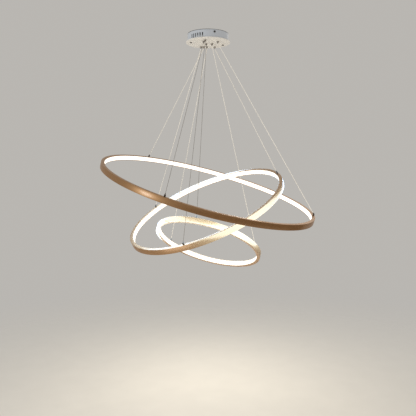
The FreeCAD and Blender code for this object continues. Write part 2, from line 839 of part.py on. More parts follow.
def splice_plate(ring):
    """The curved plate inside the channel that bridges its seam."""
    outer = f"{ring}_radius - rim_wall - fit_clearance"
    height = "rim_height - 2 * rim_wall - 2 * rib_height - 2 * fit_clearance"
    base = ("0", "0", f"-({height}) / 2")
    arc = f"splice_length / {ring}_radius * 180 / pi"
    sector = bind(cylinder(outer, height, base), Angle=arc)
    plate = cut(sector, cylinder(f"{outer} - splice_thickness", height, base))
    half_arc = math.degrees(value("splice_length") / value(f"{ring}_radius")) / 2
    placed = put(group(plate), turned(value(f"{ring}_seam_angle") - half_arc))
    return cut(placed, splice_screws(ring, "slide_clearance", "cut_past"))


def rim_stud(ring, cable):
    """A riveted stud on the ring's top face, with a dome and a ferrule that points up its cable."""
    rivet_base = ("0", "0", "-rim_wall - rivet_thickness")
    rivet = cylinder("rivet_radius", "rivet_thickness", rivet_base)
    stem = cylinder("stud_stem_radius", "rim_wall + rivet_thickness + stud_length / 2", rivet_base)
    barrel = cylinder("stud_radius", "stud_length")
    dome = ball("stud_radius", ("0", "0", "stud_length"))
    ferrule = cylinder("ferrule_radius", "ferrule_length")
    top, bottom = cable_ends(ring, cable)
    along = ring_placement(ring).Rotation.inverted().multVec((top - bottom).normalize())
    put(ferrule, pointing(Vector(0, 0, value("stud_length")), along))
    return put(fuse(rivet, stem, barrel, dome, ferrule), Placement(stud_place(ring, cable), Rotation()))


# ---------------------------------------------------------------------------------------------------------
# The assembly
# ---------------------------------------------------------------------------------------------------------

node("ceiling_bracket", ceiling_bracket())
node("canopy_drum", canopy_drum())
node("side_screws", group(*at_both_ends(side_screw)))
node("canopy_plate", canopy_plate())
node("plate_screws", plate_screws())
node("driver_pad", driver_pad())
node("driver_case", driver_case())
node("mains_block", mains_block())
node("mains_block_screws", group(*block_screws("block_screw_radius")))
node("output_block", output_block())
node("earth_screw", earth_screw())
node("mains_leads", mains_leads())
node("output_leads", output_leads())
node("grip_bodies", at_each_hole(grip_body))
node("grip_nuts", at_each_hole(grip_nut))
node("grip_springs", at_each_hole(grip_spring))
node("cable_tails", at_each_hole(cable_tail))

for (ring, cable), place in HOLES.items():
    node(f"{ring}_plunger_{cable}", put(group(plunger(cable)), Placement(place, Rotation())))
    node(f"{ring}_cable_{cable}", hanging_cable(ring, cable))

for ring in RINGS:
    placement = ring_placement(ring)
    node(f"{ring}_rim_channel", put(rim_channel(ring), placement))
    node(f"{ring}_diffuser", put(diffuser(ring), placement))
    node(f"{ring}_led_board", put(led_board(ring), placement))
    node(f"{ring}_led_chips", put(led_chips(ring), placement))
    node(f"{ring}_splice_plate", put(splice_plate(ring), placement))
    node(f"{ring}_splice_screws", put(splice_screws(ring), placement))
    studs = group(*[rim_stud(ring, cable) for cable in CABLES])
    node(f"{ring}_rim_studs", put(studs, placement))

doc.recompute()

faults = [
    f"{thing.Label} is in state {thing.State}"
    for thing in doc.Objects
    if "Invalid" in thing.State or "Error" in thing.State
]
faults += [
    f"{thing.Label} has no valid shape"
    for thing in nodes
    if thing.Shape.isNull() or not thing.Shape.isValid() or not thing.Shape.Solids
]
if faults:
    raise RuntimeError("; ".join(faults))

os.makedirs("parts", exist_ok=True)
for thing in nodes:
    thing.Shape.exportStep(f"parts/{thing.Label}.step")
    print(f"{thing.Label}: {len(thing.Shape.Solids)} solids, {thing.Shape.Volume:.1f} mm3")
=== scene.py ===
"""The looks of a ceiling chandelier: three tilted, nested light rings that hang from nine cables.

Each sub-assembly is a class that holds its sizes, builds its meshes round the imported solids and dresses
them. Sizes are in metres and degrees. The origin is the centre of the ceiling face and +Z points up.
"""

import json
import logging
import math
from dataclasses import dataclass
from enum import Enum
from typing import Iterable, Optional, Sequence

import bmesh
import bpy
from bpy.types import Collection, Curve, Material, Node, NodeSocket, NodeTree, Object, Spline
from mathutils import Matrix, Vector

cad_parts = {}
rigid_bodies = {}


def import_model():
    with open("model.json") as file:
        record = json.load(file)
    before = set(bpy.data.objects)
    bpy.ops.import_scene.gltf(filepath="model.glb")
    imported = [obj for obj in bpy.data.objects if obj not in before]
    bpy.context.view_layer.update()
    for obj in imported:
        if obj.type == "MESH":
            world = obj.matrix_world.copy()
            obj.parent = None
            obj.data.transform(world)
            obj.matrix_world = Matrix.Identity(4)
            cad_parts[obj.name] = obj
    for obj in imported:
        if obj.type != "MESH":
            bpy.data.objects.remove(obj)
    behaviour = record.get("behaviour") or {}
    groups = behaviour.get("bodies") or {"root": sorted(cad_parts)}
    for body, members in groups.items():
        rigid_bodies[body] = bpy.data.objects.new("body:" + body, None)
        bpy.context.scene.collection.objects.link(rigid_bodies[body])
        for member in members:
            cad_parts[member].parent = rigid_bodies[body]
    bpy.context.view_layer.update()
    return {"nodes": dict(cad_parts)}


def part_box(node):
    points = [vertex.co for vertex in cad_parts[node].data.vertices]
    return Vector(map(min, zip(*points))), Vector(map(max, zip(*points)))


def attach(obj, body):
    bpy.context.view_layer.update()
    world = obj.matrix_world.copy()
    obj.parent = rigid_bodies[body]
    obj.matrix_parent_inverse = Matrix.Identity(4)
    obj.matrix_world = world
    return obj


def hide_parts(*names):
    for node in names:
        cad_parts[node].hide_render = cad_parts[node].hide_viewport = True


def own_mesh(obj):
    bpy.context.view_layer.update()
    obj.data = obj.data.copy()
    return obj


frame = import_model()

log = logging.getLogger("chandelier")

Point = tuple[float, float, float]
Colour = tuple[float, float, float]
Spot = tuple[float, float]
Finishes = dict[str, Material]

LAMP_WHITE: Colour = (1.0, 0.97, 0.91)
SMOOTH_BELOW = 35.0
ROPE_SMOOTH_BELOW = 60.0
COIL_SMOOTH_BELOW = 80.0


# --- Names and options ---


class Ring(Enum):
    """The three light rings, by size."""

    LARGE = "large"
    MIDDLE = "middle"
    SMALL = "small"


class Cable(Enum):
    """The three cables of a ring: far left, near side and right."""

    A = "a"
    B = "b"
    C = "c"


class CableKind(Enum):
    """What a cable is made of, by the slot that its finish belongs to."""

    FEED = "clear_jacket"
    STEEL = "steel_rope"


class Drive(Enum):
    """The recess in a screw's head."""

    CROSS = "cross"
    SLOT = "slot"


# --- Small helpers ---


def dimmed(colour: Colour, share: float) -> Colour:
    """A colour times a share."""
    return tuple(share * channel for channel in colour)


def polar(radius: float, degrees: float, height: float = 0.0) -> Vector:
    """The point at a radius, at an angle about the Z axis and at a height."""
    turn = math.radians(degrees)
    return Vector((radius * math.cos(turn), radius * math.sin(turn), height))


def upright(start: Vector, direction: Vector) -> Matrix:
    """The matrix that stands a shape's Z axis along a direction from a start."""
    return Matrix.Translation(start) @ direction.to_track_quat("Z", "Y").to_matrix().to_4x4()


def link(made: Object) -> Object:
    """Puts an object in the scene."""
    bpy.context.scene.collection.objects.link(made)
    return made


def dress(node: str, material: Material) -> None:
    """Gives a carried-over node its finish."""
    data = frame["nodes"][node].data
    data.materials.clear()
    data.materials.append(material)
    log.info("%s: dressed in %s", node, material.name)


def smooth_line(name: str, points: Iterable[Sequence[float]]) -> tuple[Curve, Spline]:
    """A curve that runs smoothly from the first point to the last, and its spline."""
    spots = list(points)
    line = bpy.data.curves.new(name, "CURVE")
    line.dimensions = "3D"
    spline = line.splines.new("NURBS")
    spline.points.add(len(spots) - 1)
    for point, spot in zip(spline.points, spots):
        point.co = (*spot, 1.0)
    spline.order_u = 3
    spline.use_endpoint_u = True
    return line, spline


# --- Node trees ---


class Nodes:
    """A node tree that is built node by node."""

    def __init__(self, tree: NodeTree) -> None:
        """Takes the tree to build in."""
        self.tree = tree

    def feed(self, target: NodeSocket, source: object) -> None:
        """Gives a socket another socket's output or a plain value. A colour comes without its alpha."""
        if isinstance(source, NodeSocket):
            self.tree.links.new(source, target)
        else:
            target.default_value = (*source, 1.0) if target.type == "RGBA" else source

    def node(self, kind: str, *inputs: object, **settings: object) -> Node:
        """Adds a node.

        Args:
            kind: the node's type, without the words that all types start with.
            inputs: what its first sockets are fed.
            settings: its properties.

        Returns:
            The node.
        """
        made = self.tree.nodes.new(f"ShaderNode{kind}")
        for key, setting in settings.items():
            setattr(made, key, setting)
        for target, source in zip(made.inputs, inputs):
            self.feed(target, source)
        return made

    def maths(self, operation: str, *inputs: object) -> NodeSocket:
        """The result of a maths operation on sockets or numbers."""
        return self.node("Math", *inputs, operation=operation).outputs[0]


class Shader(Nodes):
    """A material built round one principled surface."""

    def __init__(self, name: str) -> None:
        """Starts a material of this name."""
        self.material = bpy.data.materials.new(name)
        self.material.use_nodes = True
        super().__init__(self.material.node_tree)
        self.surface = self.tree.nodes["Principled BSDF"]

    def scaled(self, vector: NodeSocket, stretch: Point) -> NodeSocket:
        """A vector times a factor along each axis."""
        return self.node("VectorMath", vector, stretch, operation="MULTIPLY").outputs[0]

    def place(
        self, location: Point = (0, 0, 0), turn: Point = (0, 0, 0), stretch: Point = (1, 1, 1)
    ) -> NodeSocket:
        """Object coordinates seen from a frame of their own, turned by radians, then stretched."""
        coordinates = self.node("TexCoord").outputs["Object"]
        local = self.node("Mapping", coordinates, location, turn, vector_type="TEXTURE").outputs[0]
        return self.scaled(local, stretch)

    def uv(self, stretch: Point) -> NodeSocket:
        """The piece's own coordinates, along it and round it, stretched."""
        return self.scaled(self.node("UVMap", uv_map="Surface").outputs[0], stretch)

    def split(self, vector: NodeSocket) -> Sequence[NodeSocket]:
        """A vector's three parts."""
        return self.node("SeparateXYZ", vector).outputs

    def reach(self, vector: NodeSocket) -> NodeSocket:
        """A point's distance from the Z axis."""
        flat = self.scaled(vector, (1, 1, 0))
        return self.node("VectorMath", flat, operation="LENGTH").outputs["Value"]

    def noise(self, vector: NodeSocket, scale: float, detail: float = 3.0) -> NodeSocket:
        """Smooth noise about 0.5, with so many features per metre and so many octaves."""
        made = self.node("TexNoise", vector)
        self.feed(made.inputs["Scale"], scale)
        self.feed(made.inputs["Detail"], detail)
        return made.outputs[0]

    def spread(
        self, value: object, to_low: float = 0.0, to_high: float = 1.0, low: float = 0.3, high: float = 0.7
    ) -> NodeSocket:
        """Maps a value from one range to another, clamped. Noise lies mostly in the first range's default.

        Args:
            value: the value's socket.
            to_low: what the range's start becomes.
            to_high: what its end becomes.
            low: its start.
            high: its end.

        Returns:
            The result's socket.
        """
        return self.node("MapRange", value, low, high, to_low, to_high).outputs[0]

    def blend(self, share: object, first: object, second: object) -> NodeSocket:
        """Mixes two colours, each a socket or plain, by a share from 0 to 1."""
        made = self.node("Mix", share, data_type="RGBA")
        self.feed(made.inputs[6], first)
        self.feed(made.inputs[7], second)
        return made.outputs[2]

    def bump(self, height: NodeSocket, depth: float) -> None:
        """Shades the surface as if it were raised by a height, whose 1 is this many metres."""
        made = self.node("Bump")
        self.feed(made.inputs["Distance"], depth)
        self.feed(made.inputs["Height"], height)
        self.feed(self.surface.inputs["Normal"], made.outputs[0])

    def set(self, **sockets: object) -> None:
        """Feeds the surface's sockets, named with underscores for spaces."""
        for key, source in sockets.items():
            self.feed(self.surface.inputs[key.replace("_", " ")], source)


# --- Finishes ---


@dataclass(frozen=True)
class Mottled:
    """A finish whose colour, roughness and height vary by noise."""

    name: str
    colour: Colour
    second: Colour
    metallic: float = 0.0
    roughness: float = 0.5
    uneven: float = 0.08
    patch_scale: float = 40.0
    grain_scale: float = 900.0
    grain_depth: float = 0.00002

    def material(self) -> Material:
        """Builds the material."""
        shader = Shader(self.name)
        here = shader.place()
        patches = shader.spread(shader.noise(here, self.patch_scale), low=0.35, high=0.65)
        grain = shader.noise(here, self.grain_scale, 2.0)
        shader.set(
            Base_Color=shader.blend(patches, self.colour, self.second),
            Metallic=self.metallic,
            Roughness=shader.spread(grain, self.roughness - self.uneven, self.roughness + self.uneven),
        )
        shader.bump(grain, self.grain_depth)
        return shader.material


@dataclass(frozen=True)
class RingFinish:
    """A finish that is laid out in a ring's own frame, on a part that is symmetrical about its plane."""

    name: str
    centre: Point
    turn: Point
    half_height: float


@dataclass(frozen=True)
class SatinBronze(RingFinish):
    """Anodised aluminium in satin bronze, with fine lines along the ring and a painted highlight, paler and
    in patches, at its top and bottom edges.
    """

    colour: Colour = (0.385, 0.208, 0.092)
    cloud: float = 0.88
    cloud_scale: float = 14.0
    streak: float = 0.72
    line_scale: float = 5200.0
    line_depth: float = 0.000002
    # Painted highlight at the rims: its paler colour, how strongly it is laid on and how far in from the
    # edges it reaches.
    rim_highlight: Colour = (0.58, 0.41, 0.27)
    rim_highlight_share: float = 0.55
    rim_highlight_from: float = 0.0009
    rim_highlight_to: float = 0.0001
    highlight_patch_scale: float = 160.0

    def material(self) -> Material:
        """Builds the material."""
        shader = Shader(self.name)
        local = shader.place(self.centre, self.turn)
        height = shader.split(local)[2]
        section = shader.node("CombineXYZ", shader.reach(local), 0.0, height).outputs[0]
        lines = shader.noise(section, self.line_scale)
        clouds = shader.spread(shader.noise(local, self.cloud_scale, 4.0))
        # Painted highlight: the channel's top and bottom edges are made paler, in patches, to stand for the
        # strips' light catching its rims.
        edge = shader.spread(
            shader.maths("ABSOLUTE", height),
            low=self.half_height - self.rim_highlight_from, high=self.half_height - self.rim_highlight_to,
        )
        highlight_patches = shader.spread(shader.noise(local, self.highlight_patch_scale, 4.0), 0.25, 1.0, 0.42, 0.62)
        rim_highlight = shader.maths("MULTIPLY", shader.maths("MULTIPLY", edge, highlight_patches), self.rim_highlight_share)
        tone = shader.blend(clouds, self.colour, dimmed(self.colour, self.cloud))
        streaks = shader.spread(lines, 0.0, 0.35, 0.35, 0.65)
        streaked = shader.blend(streaks, tone, dimmed(self.colour, self.streak))
        shader.set(
            Base_Color=shader.blend(rim_highlight, streaked, self.rim_highlight),
            Metallic=0.62,
            Roughness=shader.spread(lines, 0.34, 0.42),
            Specular_IOR_Level=0.3,
            Specular_Tint=(0.80, 0.56, 0.36),
            Coat_Weight=0.4,
            Coat_Roughness=0.18,
        )
        shader.bump(lines, self.line_depth)
        return shader.material


@dataclass(frozen=True)
class LitOpal(RingFinish):
    """Milky acrylic lit from behind: a little dimmer and warmer at its borders and between the chips."""

    chips: int
    strength: float = 1.25
    ripple: float = 0.02
    border_from: float = 0.55
    border_dimming: float = 0.72

    def material(self) -> Material:
        """Builds the material."""
        shader = Shader(self.name)
        local = shader.place(self.centre, self.turn)
        x, y, height = shader.split(local)
        turn = shader.maths("ARCTAN2", y, x)
        ripple = shader.maths("COSINE", shader.maths("MULTIPLY", turn, float(self.chips)))
        border = shader.spread(
            shader.maths("ABSOLUTE", height), low=self.half_height * self.border_from, high=self.half_height
        )
        milk = shader.spread(shader.noise(local, 60.0), 0.98, 1.02)
        glow = shader.maths("MULTIPLY_ADD", ripple, self.ripple, milk)
        seen = shader.maths("MULTIPLY", glow, shader.spread(border, 1.0, self.border_dimming, 0.0, 1.0))
        shader.set(
            Base_Color=(0.86, 0.85, 0.82),
            Roughness=0.38,
            Emission_Color=shader.blend(border, (1.0, 0.955, 0.88), (1.0, 0.90, 0.76)),
            Emission_Strength=shader.maths("MULTIPLY", seen, self.strength),
        )
        shader.bump(shader.noise(local, 700.0, 2.0), 0.00001)
        return shader.material


@dataclass(frozen=True)
class PowderCoat:
    """Sprayed powder paint on a round part: fine orange peel, faint clouds and paint that is darker in
    patches near its rims.
    """

    name: str
    colour: Colour
    rim_radius: float
    rim_levels: Spot
    roughness: float = 0.42
    cloud: float = 0.965
    rim_dimming: float = 0.62
    rim_from: float = 0.0002
    rim_to: float = 0.0012
    peel_depth: float = 0.000006

    def rims(self, shader: Shader, here: NodeSocket) -> NodeSocket:
        """How near a point is to either rim, from 0 away from them to 1 on them."""
        height = shader.split(here)[2]
        pairs = [(shader.reach(here), self.rim_radius), *((height, level) for level in self.rim_levels)]
        aside, *gaps = (shader.maths("ABSOLUTE", shader.maths("SUBTRACT", *pair)) for pair in pairs)
        far = shader.maths("MAXIMUM", aside, shader.maths("MINIMUM", *gaps))
        return shader.spread(far, 1.0, 0.0, self.rim_from, self.rim_to)

    def material(self) -> Material:
        """Builds the material."""
        shader = Shader(self.name)
        here = shader.place()
        peel = shader.noise(here, 1500.0, 2.0)
        clouds = shader.spread(shader.noise(here, 25.0))
        paint = shader.blend(clouds, self.colour, dimmed(self.colour, self.cloud))
        # The paint is made darker in patches near the part's rims; this noise only breaks that darkening into
        # patches.
        chips = shader.spread(shader.noise(here, 420.0, 4.0), 0.0, 0.55, 0.48, 0.62)
        rim_darkening = shader.maths("MULTIPLY", self.rims(shader, here), chips)
        shader.set(
            Base_Color=shader.blend(rim_darkening, paint, dimmed(self.colour, self.rim_dimming)),
            Roughness=shader.spread(peel, self.roughness - 0.05, self.roughness + 0.06),
            Coat_Weight=0.08,
            Coat_Roughness=0.3,
        )
        shader.bump(peel, self.peel_depth)
        return shader.material


@dataclass(frozen=True)
class TurnedMetal:
    """Plated metal with the fine rings that a lathe leaves at each height."""

    name: str
    colour: Colour
    roughness: float = 0.3
    rings: float = 3000.0
    ring_depth: float = 0.000015
    smear: float = 0.8

    def material(self) -> Material:
        """Builds the material."""
        shader = Shader(self.name)
        marks = shader.noise(shader.place(stretch=(0.02, 0.02, 1.0)), self.rings, 2.0)
        smears = shader.spread(shader.noise(shader.place(), 300.0))
        shader.set(
            Base_Color=shader.blend(smears, self.colour, dimmed(self.colour, self.smear)),
            Metallic=1.0,
            Roughness=shader.spread(marks, self.roughness - 0.07, self.roughness + 0.1),
        )
        shader.bump(marks, self.ring_depth)
        return shader.material


@dataclass(frozen=True)
class CableSkin:
    """A cable's surface: strands that wind round it, bare or under a clear jacket."""

    name: str
    colour: Colour
    gap: Colour
    metallic: float
    roughness: float
    strands: float
    coat: float
    strand_depth: float = 0.00003

    def material(self) -> Material:
        """Builds the material."""
        shader = Shader(self.name)
        along, around, _ = shader.split(shader.uv((1.0, self.strands, 1.0)))
        phase = shader.maths("MULTIPLY", shader.maths("ADD", along, around), math.tau)
        winding = shader.spread(shader.maths("SINE", phase), low=-1.0, high=1.0)
        grime = shader.spread(shader.noise(shader.uv((0.3, 1.0, 1.0)), 4.0), 0.82, 1.0)
        shader.set(
            Base_Color=shader.blend(shader.maths("MULTIPLY", winding, grime), self.gap, self.colour),
            Metallic=self.metallic,
            Roughness=shader.spread(winding, self.roughness + 0.12, self.roughness, 0.0, 1.0),
            Coat_Weight=self.coat,
            Coat_Roughness=0.35,
        )
        shader.bump(winding, self.strand_depth)
        return shader.material


SHARED_FINISHES = {
    "black": Mottled("satin_black", (0.060, 0.043, 0.030), (0.095, 0.068, 0.046), 0.8, 0.40, 0.1, 220.0),
    "dark": Mottled("blackened_steel", (0.06, 0.057, 0.055), (0.10, 0.095, 0.09), 0.9, 0.4, 0.1, 500.0),
    "zinc": Mottled("zinc_plate", (0.60, 0.61, 0.62), (0.48, 0.50, 0.52), 1.0, 0.38, 0.1, 260.0, 500.0),
    # Painted shade: the driver case is white plastic, made near black so that the canopy's inside looks dark
    # through the vents.
    "plastic": Mottled(
        "driver_plastic", (0.055, 0.055, 0.06), (0.068, 0.068, 0.072), 0.0, 0.5, 0.06, 60.0, 2200.0
    ),
    "block": Mottled("block_plastic", (0.76, 0.74, 0.68), (0.72, 0.70, 0.64), 0.0, 0.45, 0.06, 90.0, 1800.0),
    "foam": Mottled("foam", (0.72, 0.72, 0.70), (0.64, 0.64, 0.62), 0.0, 0.9, 0.05, 700.0, 1400.0, 0.0002),
    "board": Mottled("solder_mask", (0.88, 0.88, 0.86), (0.85, 0.85, 0.83), 0.0, 0.35, 0.05, 80.0, 2500.0),
    "sleeve": Mottled("lead_sleeve", (0.78, 0.78, 0.76), (0.74, 0.74, 0.72), 0.0, 0.32, 0.06, 120.0, 1500.0),
    "phosphor": Mottled("phosphor", (0.95, 0.82, 0.42), (0.92, 0.76, 0.36), 0.0, 0.55, 0.05, 900.0, 3000.0),
    "nickel": TurnedMetal("nickel_plate", (0.50, 0.47, 0.43), 0.3),
    "turned": TurnedMetal("turned_steel", (0.36, 0.34, 0.32), 0.28),
    "wire": TurnedMetal("spring_wire", (0.45, 0.45, 0.46), 0.25),
    "brass": TurnedMetal("brass", (0.72, 0.52, 0.24), 0.3),
}

CABLE_SKINS = {
    CableKind.FEED: CableSkin(
        "clear_jacket_over_strands", (0.84, 0.80, 0.72), (0.72, 0.66, 0.57), 0.0, 0.5, 2.0, 0.1
    ),
    CableKind.STEEL: CableSkin("stranded_steel", (0.50, 0.45, 0.38), (0.15, 0.13, 0.11), 1.0, 0.34, 6.0, 0.0),
}


# --- Mesh building ---


class Shape:
    """A mesh in the making, and the last steps that every piece goes through."""

    def __init__(self) -> None:
        """Starts an empty mesh."""
        self.mesh = bmesh.new()

    def everything(self) -> list:
        """Its vertices, edges and faces."""
        return self.mesh.verts[:] + self.mesh.edges[:] + self.mesh.faces[:]

    def section(self, corners: Sequence[Spot], closed: bool = False) -> list:
        """Draws a section in the X-Z plane, by radius and height. Returns its corners' vertices."""
        points = [self.mesh.verts.new((radius, 0.0, height)) for radius, height in corners]
        for pair in zip(points, points[1:] + (points[:1] if closed else [])):
            self.mesh.edges.new(pair)
        return points

    def mirrored(self, upper: Sequence[Spot]) -> list:
        """Draws a closed section from its upper half."""
        return self.section([*upper, *((radius, -height) for radius, height in reversed(upper))], True)

    def bevel(self, parts: Iterable, width: float, segments: int, affect: str = "EDGES") -> None:
        """Rounds edges or vertices from a width away, with a number of facets."""
        bmesh.ops.bevel(
            self.mesh, geom=list(parts), offset=width, segments=segments, profile=0.5, affect=affect,
            material=-1, clamp_overlap=True,
        )

    def round(self, corners: Iterable, radius: float, segments: int) -> None:
        """Rounds a section's corners."""
        self.bevel(corners, radius, segments, "VERTICES")

    def ease(self, width: float, segments: int = 2, sharper: float = 40.0) -> None:
        """Bevels every edge whose faces meet at more than an angle."""
        limit = math.radians(sharper)
        edges = [edge for edge in self.mesh.edges if edge.is_manifold and edge.calc_face_angle(0.0) > limit]
        self.bevel(edges, width, segments)

    def spin(
        self, angle: float, steps: int, climb: float = 0.0, merge: bool = False, parts: Optional[list] = None
    ) -> list:
        """Spins parts of the mesh about the Z axis.

        Args:
            angle: how far, in radians.
            steps: in how many steps.
            climb: how far it rises along the axis in all.
            merge: whether the last step joins the first.
            parts: what is spun, or none for everything.

        Returns:
            The last step's vertices and edges.
        """
        return bmesh.ops.spin(
            self.mesh, geom=parts or self.everything(), cent=(0, 0, 0), axis=(0, 0, 1),
            dvec=(0, 0, climb / steps), angle=angle, steps=steps, use_merge=merge,
        )["geom_last"]

    def lathe(self, steps: int) -> None:
        """Spins everything a full turn and closes it."""
        self.spin(math.tau, steps, merge=True)
        self.clean()

    def cap(self, sides: int) -> None:
        """Fills open ends of this many sides, and cleans."""
        rims = [edge for edge in self.mesh.edges if edge.is_boundary]
        bmesh.ops.holes_fill(self.mesh, edges=rims, sides=sides)
        self.clean()

    def face_out(self) -> None:
        """Points every face outwards."""
        bmesh.ops.recalc_face_normals(self.mesh, faces=self.mesh.faces[:])

    def clean(self) -> None:
        """Merges doubles and points every face outwards."""
        bmesh.ops.remove_doubles(self.mesh, verts=self.mesh.verts[:], dist=2e-6)
        bmesh.ops.dissolve_degenerate(self.mesh, dist=1e-7, edges=self.mesh.edges[:])
        self.face_out()

    def disc(self, radius: float, segments: int, place: Matrix) -> None:
        """Adds a flat disc."""
        bmesh.ops.create_circle(
            self.mesh, cap_ends=True, cap_tris=True, segments=segments, radius=radius, matrix=place
        )

    def cone(self, low: float, high: float, depth: float, segments: int, place: Matrix) -> None:
        """Adds a closed cone about its middle, by its radius at either end."""
        bmesh.ops.create_cone(
            self.mesh, cap_ends=True, cap_tris=False, segments=segments, radius1=low, radius2=high,
            depth=depth, matrix=place,
        )

    def move(self, place: Matrix) -> None:
        """Moves everything by a matrix."""
        bmesh.ops.transform(self.mesh, matrix=place, verts=self.mesh.verts[:])

    def add(self, part: "Shape", place: Matrix) -> None:
        """Takes in another shape at a place, and frees it."""
        part.move(place)
        carrier = bpy.data.meshes.new("carrier")
        part.mesh.to_mesh(carrier)
        self.mesh.from_mesh(carrier)
        bpy.data.meshes.remove(carrier)
        part.mesh.free()

    def thing(self, name: str, *materials: Material) -> Object:
        """Makes an object of the mesh, and frees it."""
        data = bpy.data.meshes.new(name)
        self.mesh.to_mesh(data)
        self.mesh.free()
        for material in materials:
            data.materials.append(material)
        return link(bpy.data.objects.new(name, data))

    def piece(
        self, name: str, material: Material, body: str, slot: str, *replaced: str,
        smooth: float = SMOOTH_BELOW,
    ) -> Object:
        """Makes a finished piece of the mesh.

        Args:
            name: the piece's name.
            material: its finish.
            body: the body that it rides on.
            slot: the material slot of the record for its finish; not used.
            replaced: the nodes that it stands for.
            smooth: the angle between faces below which shading is smooth.

        Returns:
            The object.
        """
        made = self.thing(name, material)
        made.data.polygons.foreach_set("use_smooth", [True] * len(made.data.polygons))
        made.data.set_sharp_from_angle(angle=math.radians(smooth))
        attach(made, body)
        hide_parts(*replaced)
        log.info("%s: %d faces on %s", name, len(made.data.polygons), body)
        return made


@dataclass(frozen=True)
class Screw:
    """A screw whose head stands on the X-Y plane, with a recess on top and its shank, if any, below."""

    radius: float
    height: float
    drive: Drive = Drive.CROSS
    shank: float = 0.0
    facets: int = 40
    taper: float = 0.93
    rim_round: float = 0.3
    top_from: float = 0.995
    cross_reach: float = 0.55
    slot_reach: float = 0.8
    recess_half: float = 0.13
    recess_depth: float = 0.55
    shank_radius: float = 0.002
    shank_facets: int = 20

    def shape(self) -> Shape:
        """Builds the screw."""
        made = Shape()
        mesh = made.mesh
        middle = Matrix.Translation((0, 0, self.height / 2))
        made.cone(self.radius, self.radius * self.taper, self.height, self.facets, middle)
        made.ease(self.height * self.rim_round, 3)
        crossed = self.drive is Drive.CROSS
        half = self.radius * self.recess_half
        reach = self.radius * (self.cross_reach if crossed else self.slot_reach)
        for normal in ((1, 0, 0), (0, 1, 0)):
            for offset in (-reach, -half, half, reach):
                bmesh.ops.bisect_plane(
                    mesh, geom=made.everything(), dist=1e-7, plane_co=Vector(normal) * offset,
                    plane_no=normal,
                )
        arms = []
        for face in mesh.faces:
            centre = face.calc_center_median()
            if centre.z < self.height * self.top_from or max(abs(centre.x), abs(centre.y)) > reach:
                continue
            if abs(centre.y) < half or (crossed and abs(centre.x) < half):
                arms.append(face)
        sunk = bmesh.ops.extrude_face_region(mesh, geom=arms)
        bmesh.ops.delete(mesh, geom=arms, context="FACES")
        moved = [item for item in sunk["geom"] if isinstance(item, bmesh.types.BMVert)]
        bmesh.ops.translate(mesh, verts=moved, vec=(0, 0, -self.height * self.recess_depth))
        made.clean()
        if self.shank:
            below = Matrix.Translation((0, 0, -self.shank / 2))
            made.cone(self.shank_radius, self.shank_radius, self.shank, self.shank_facets, below)
        return made


# --- Studio ---


def area_lamp(name: str, size: float, power: float, colour: Colour, group: Optional[Collection]) -> Object:
    """Adds a lamp that the camera doesn't see and that lights only a group of objects, if one is given."""
    data = bpy.data.lights.new(name, "AREA")
    data.size = size
    data.energy = power
    data.color = colour
    made = bpy.data.objects.new(name, data)
    made.visible_camera = False
    if group is not None:
        made.light_linking.receiver_collection = group
    return link(made)


@dataclass(frozen=True)
class Lamp:
    """A soft square lamp that faces a point."""

    name: str
    place: Point
    aim: Point
    size: float
    power: float
    colour: Colour

    def hang(self, lit: Sequence[Object] = ()) -> None:
        """Adds the lamp, which lights only the given objects, or everything if there are none."""
        group = bpy.data.collections.new(f"{self.name}_lights") if lit else None
        for item in lit:
            group.objects.link(item)
        made = area_lamp(self.name, self.size, self.power, self.colour, group)
        made.location = self.place
        made.rotation_euler = (Vector(self.aim) - Vector(self.place)).to_track_quat("-Z", "Y").to_euler()


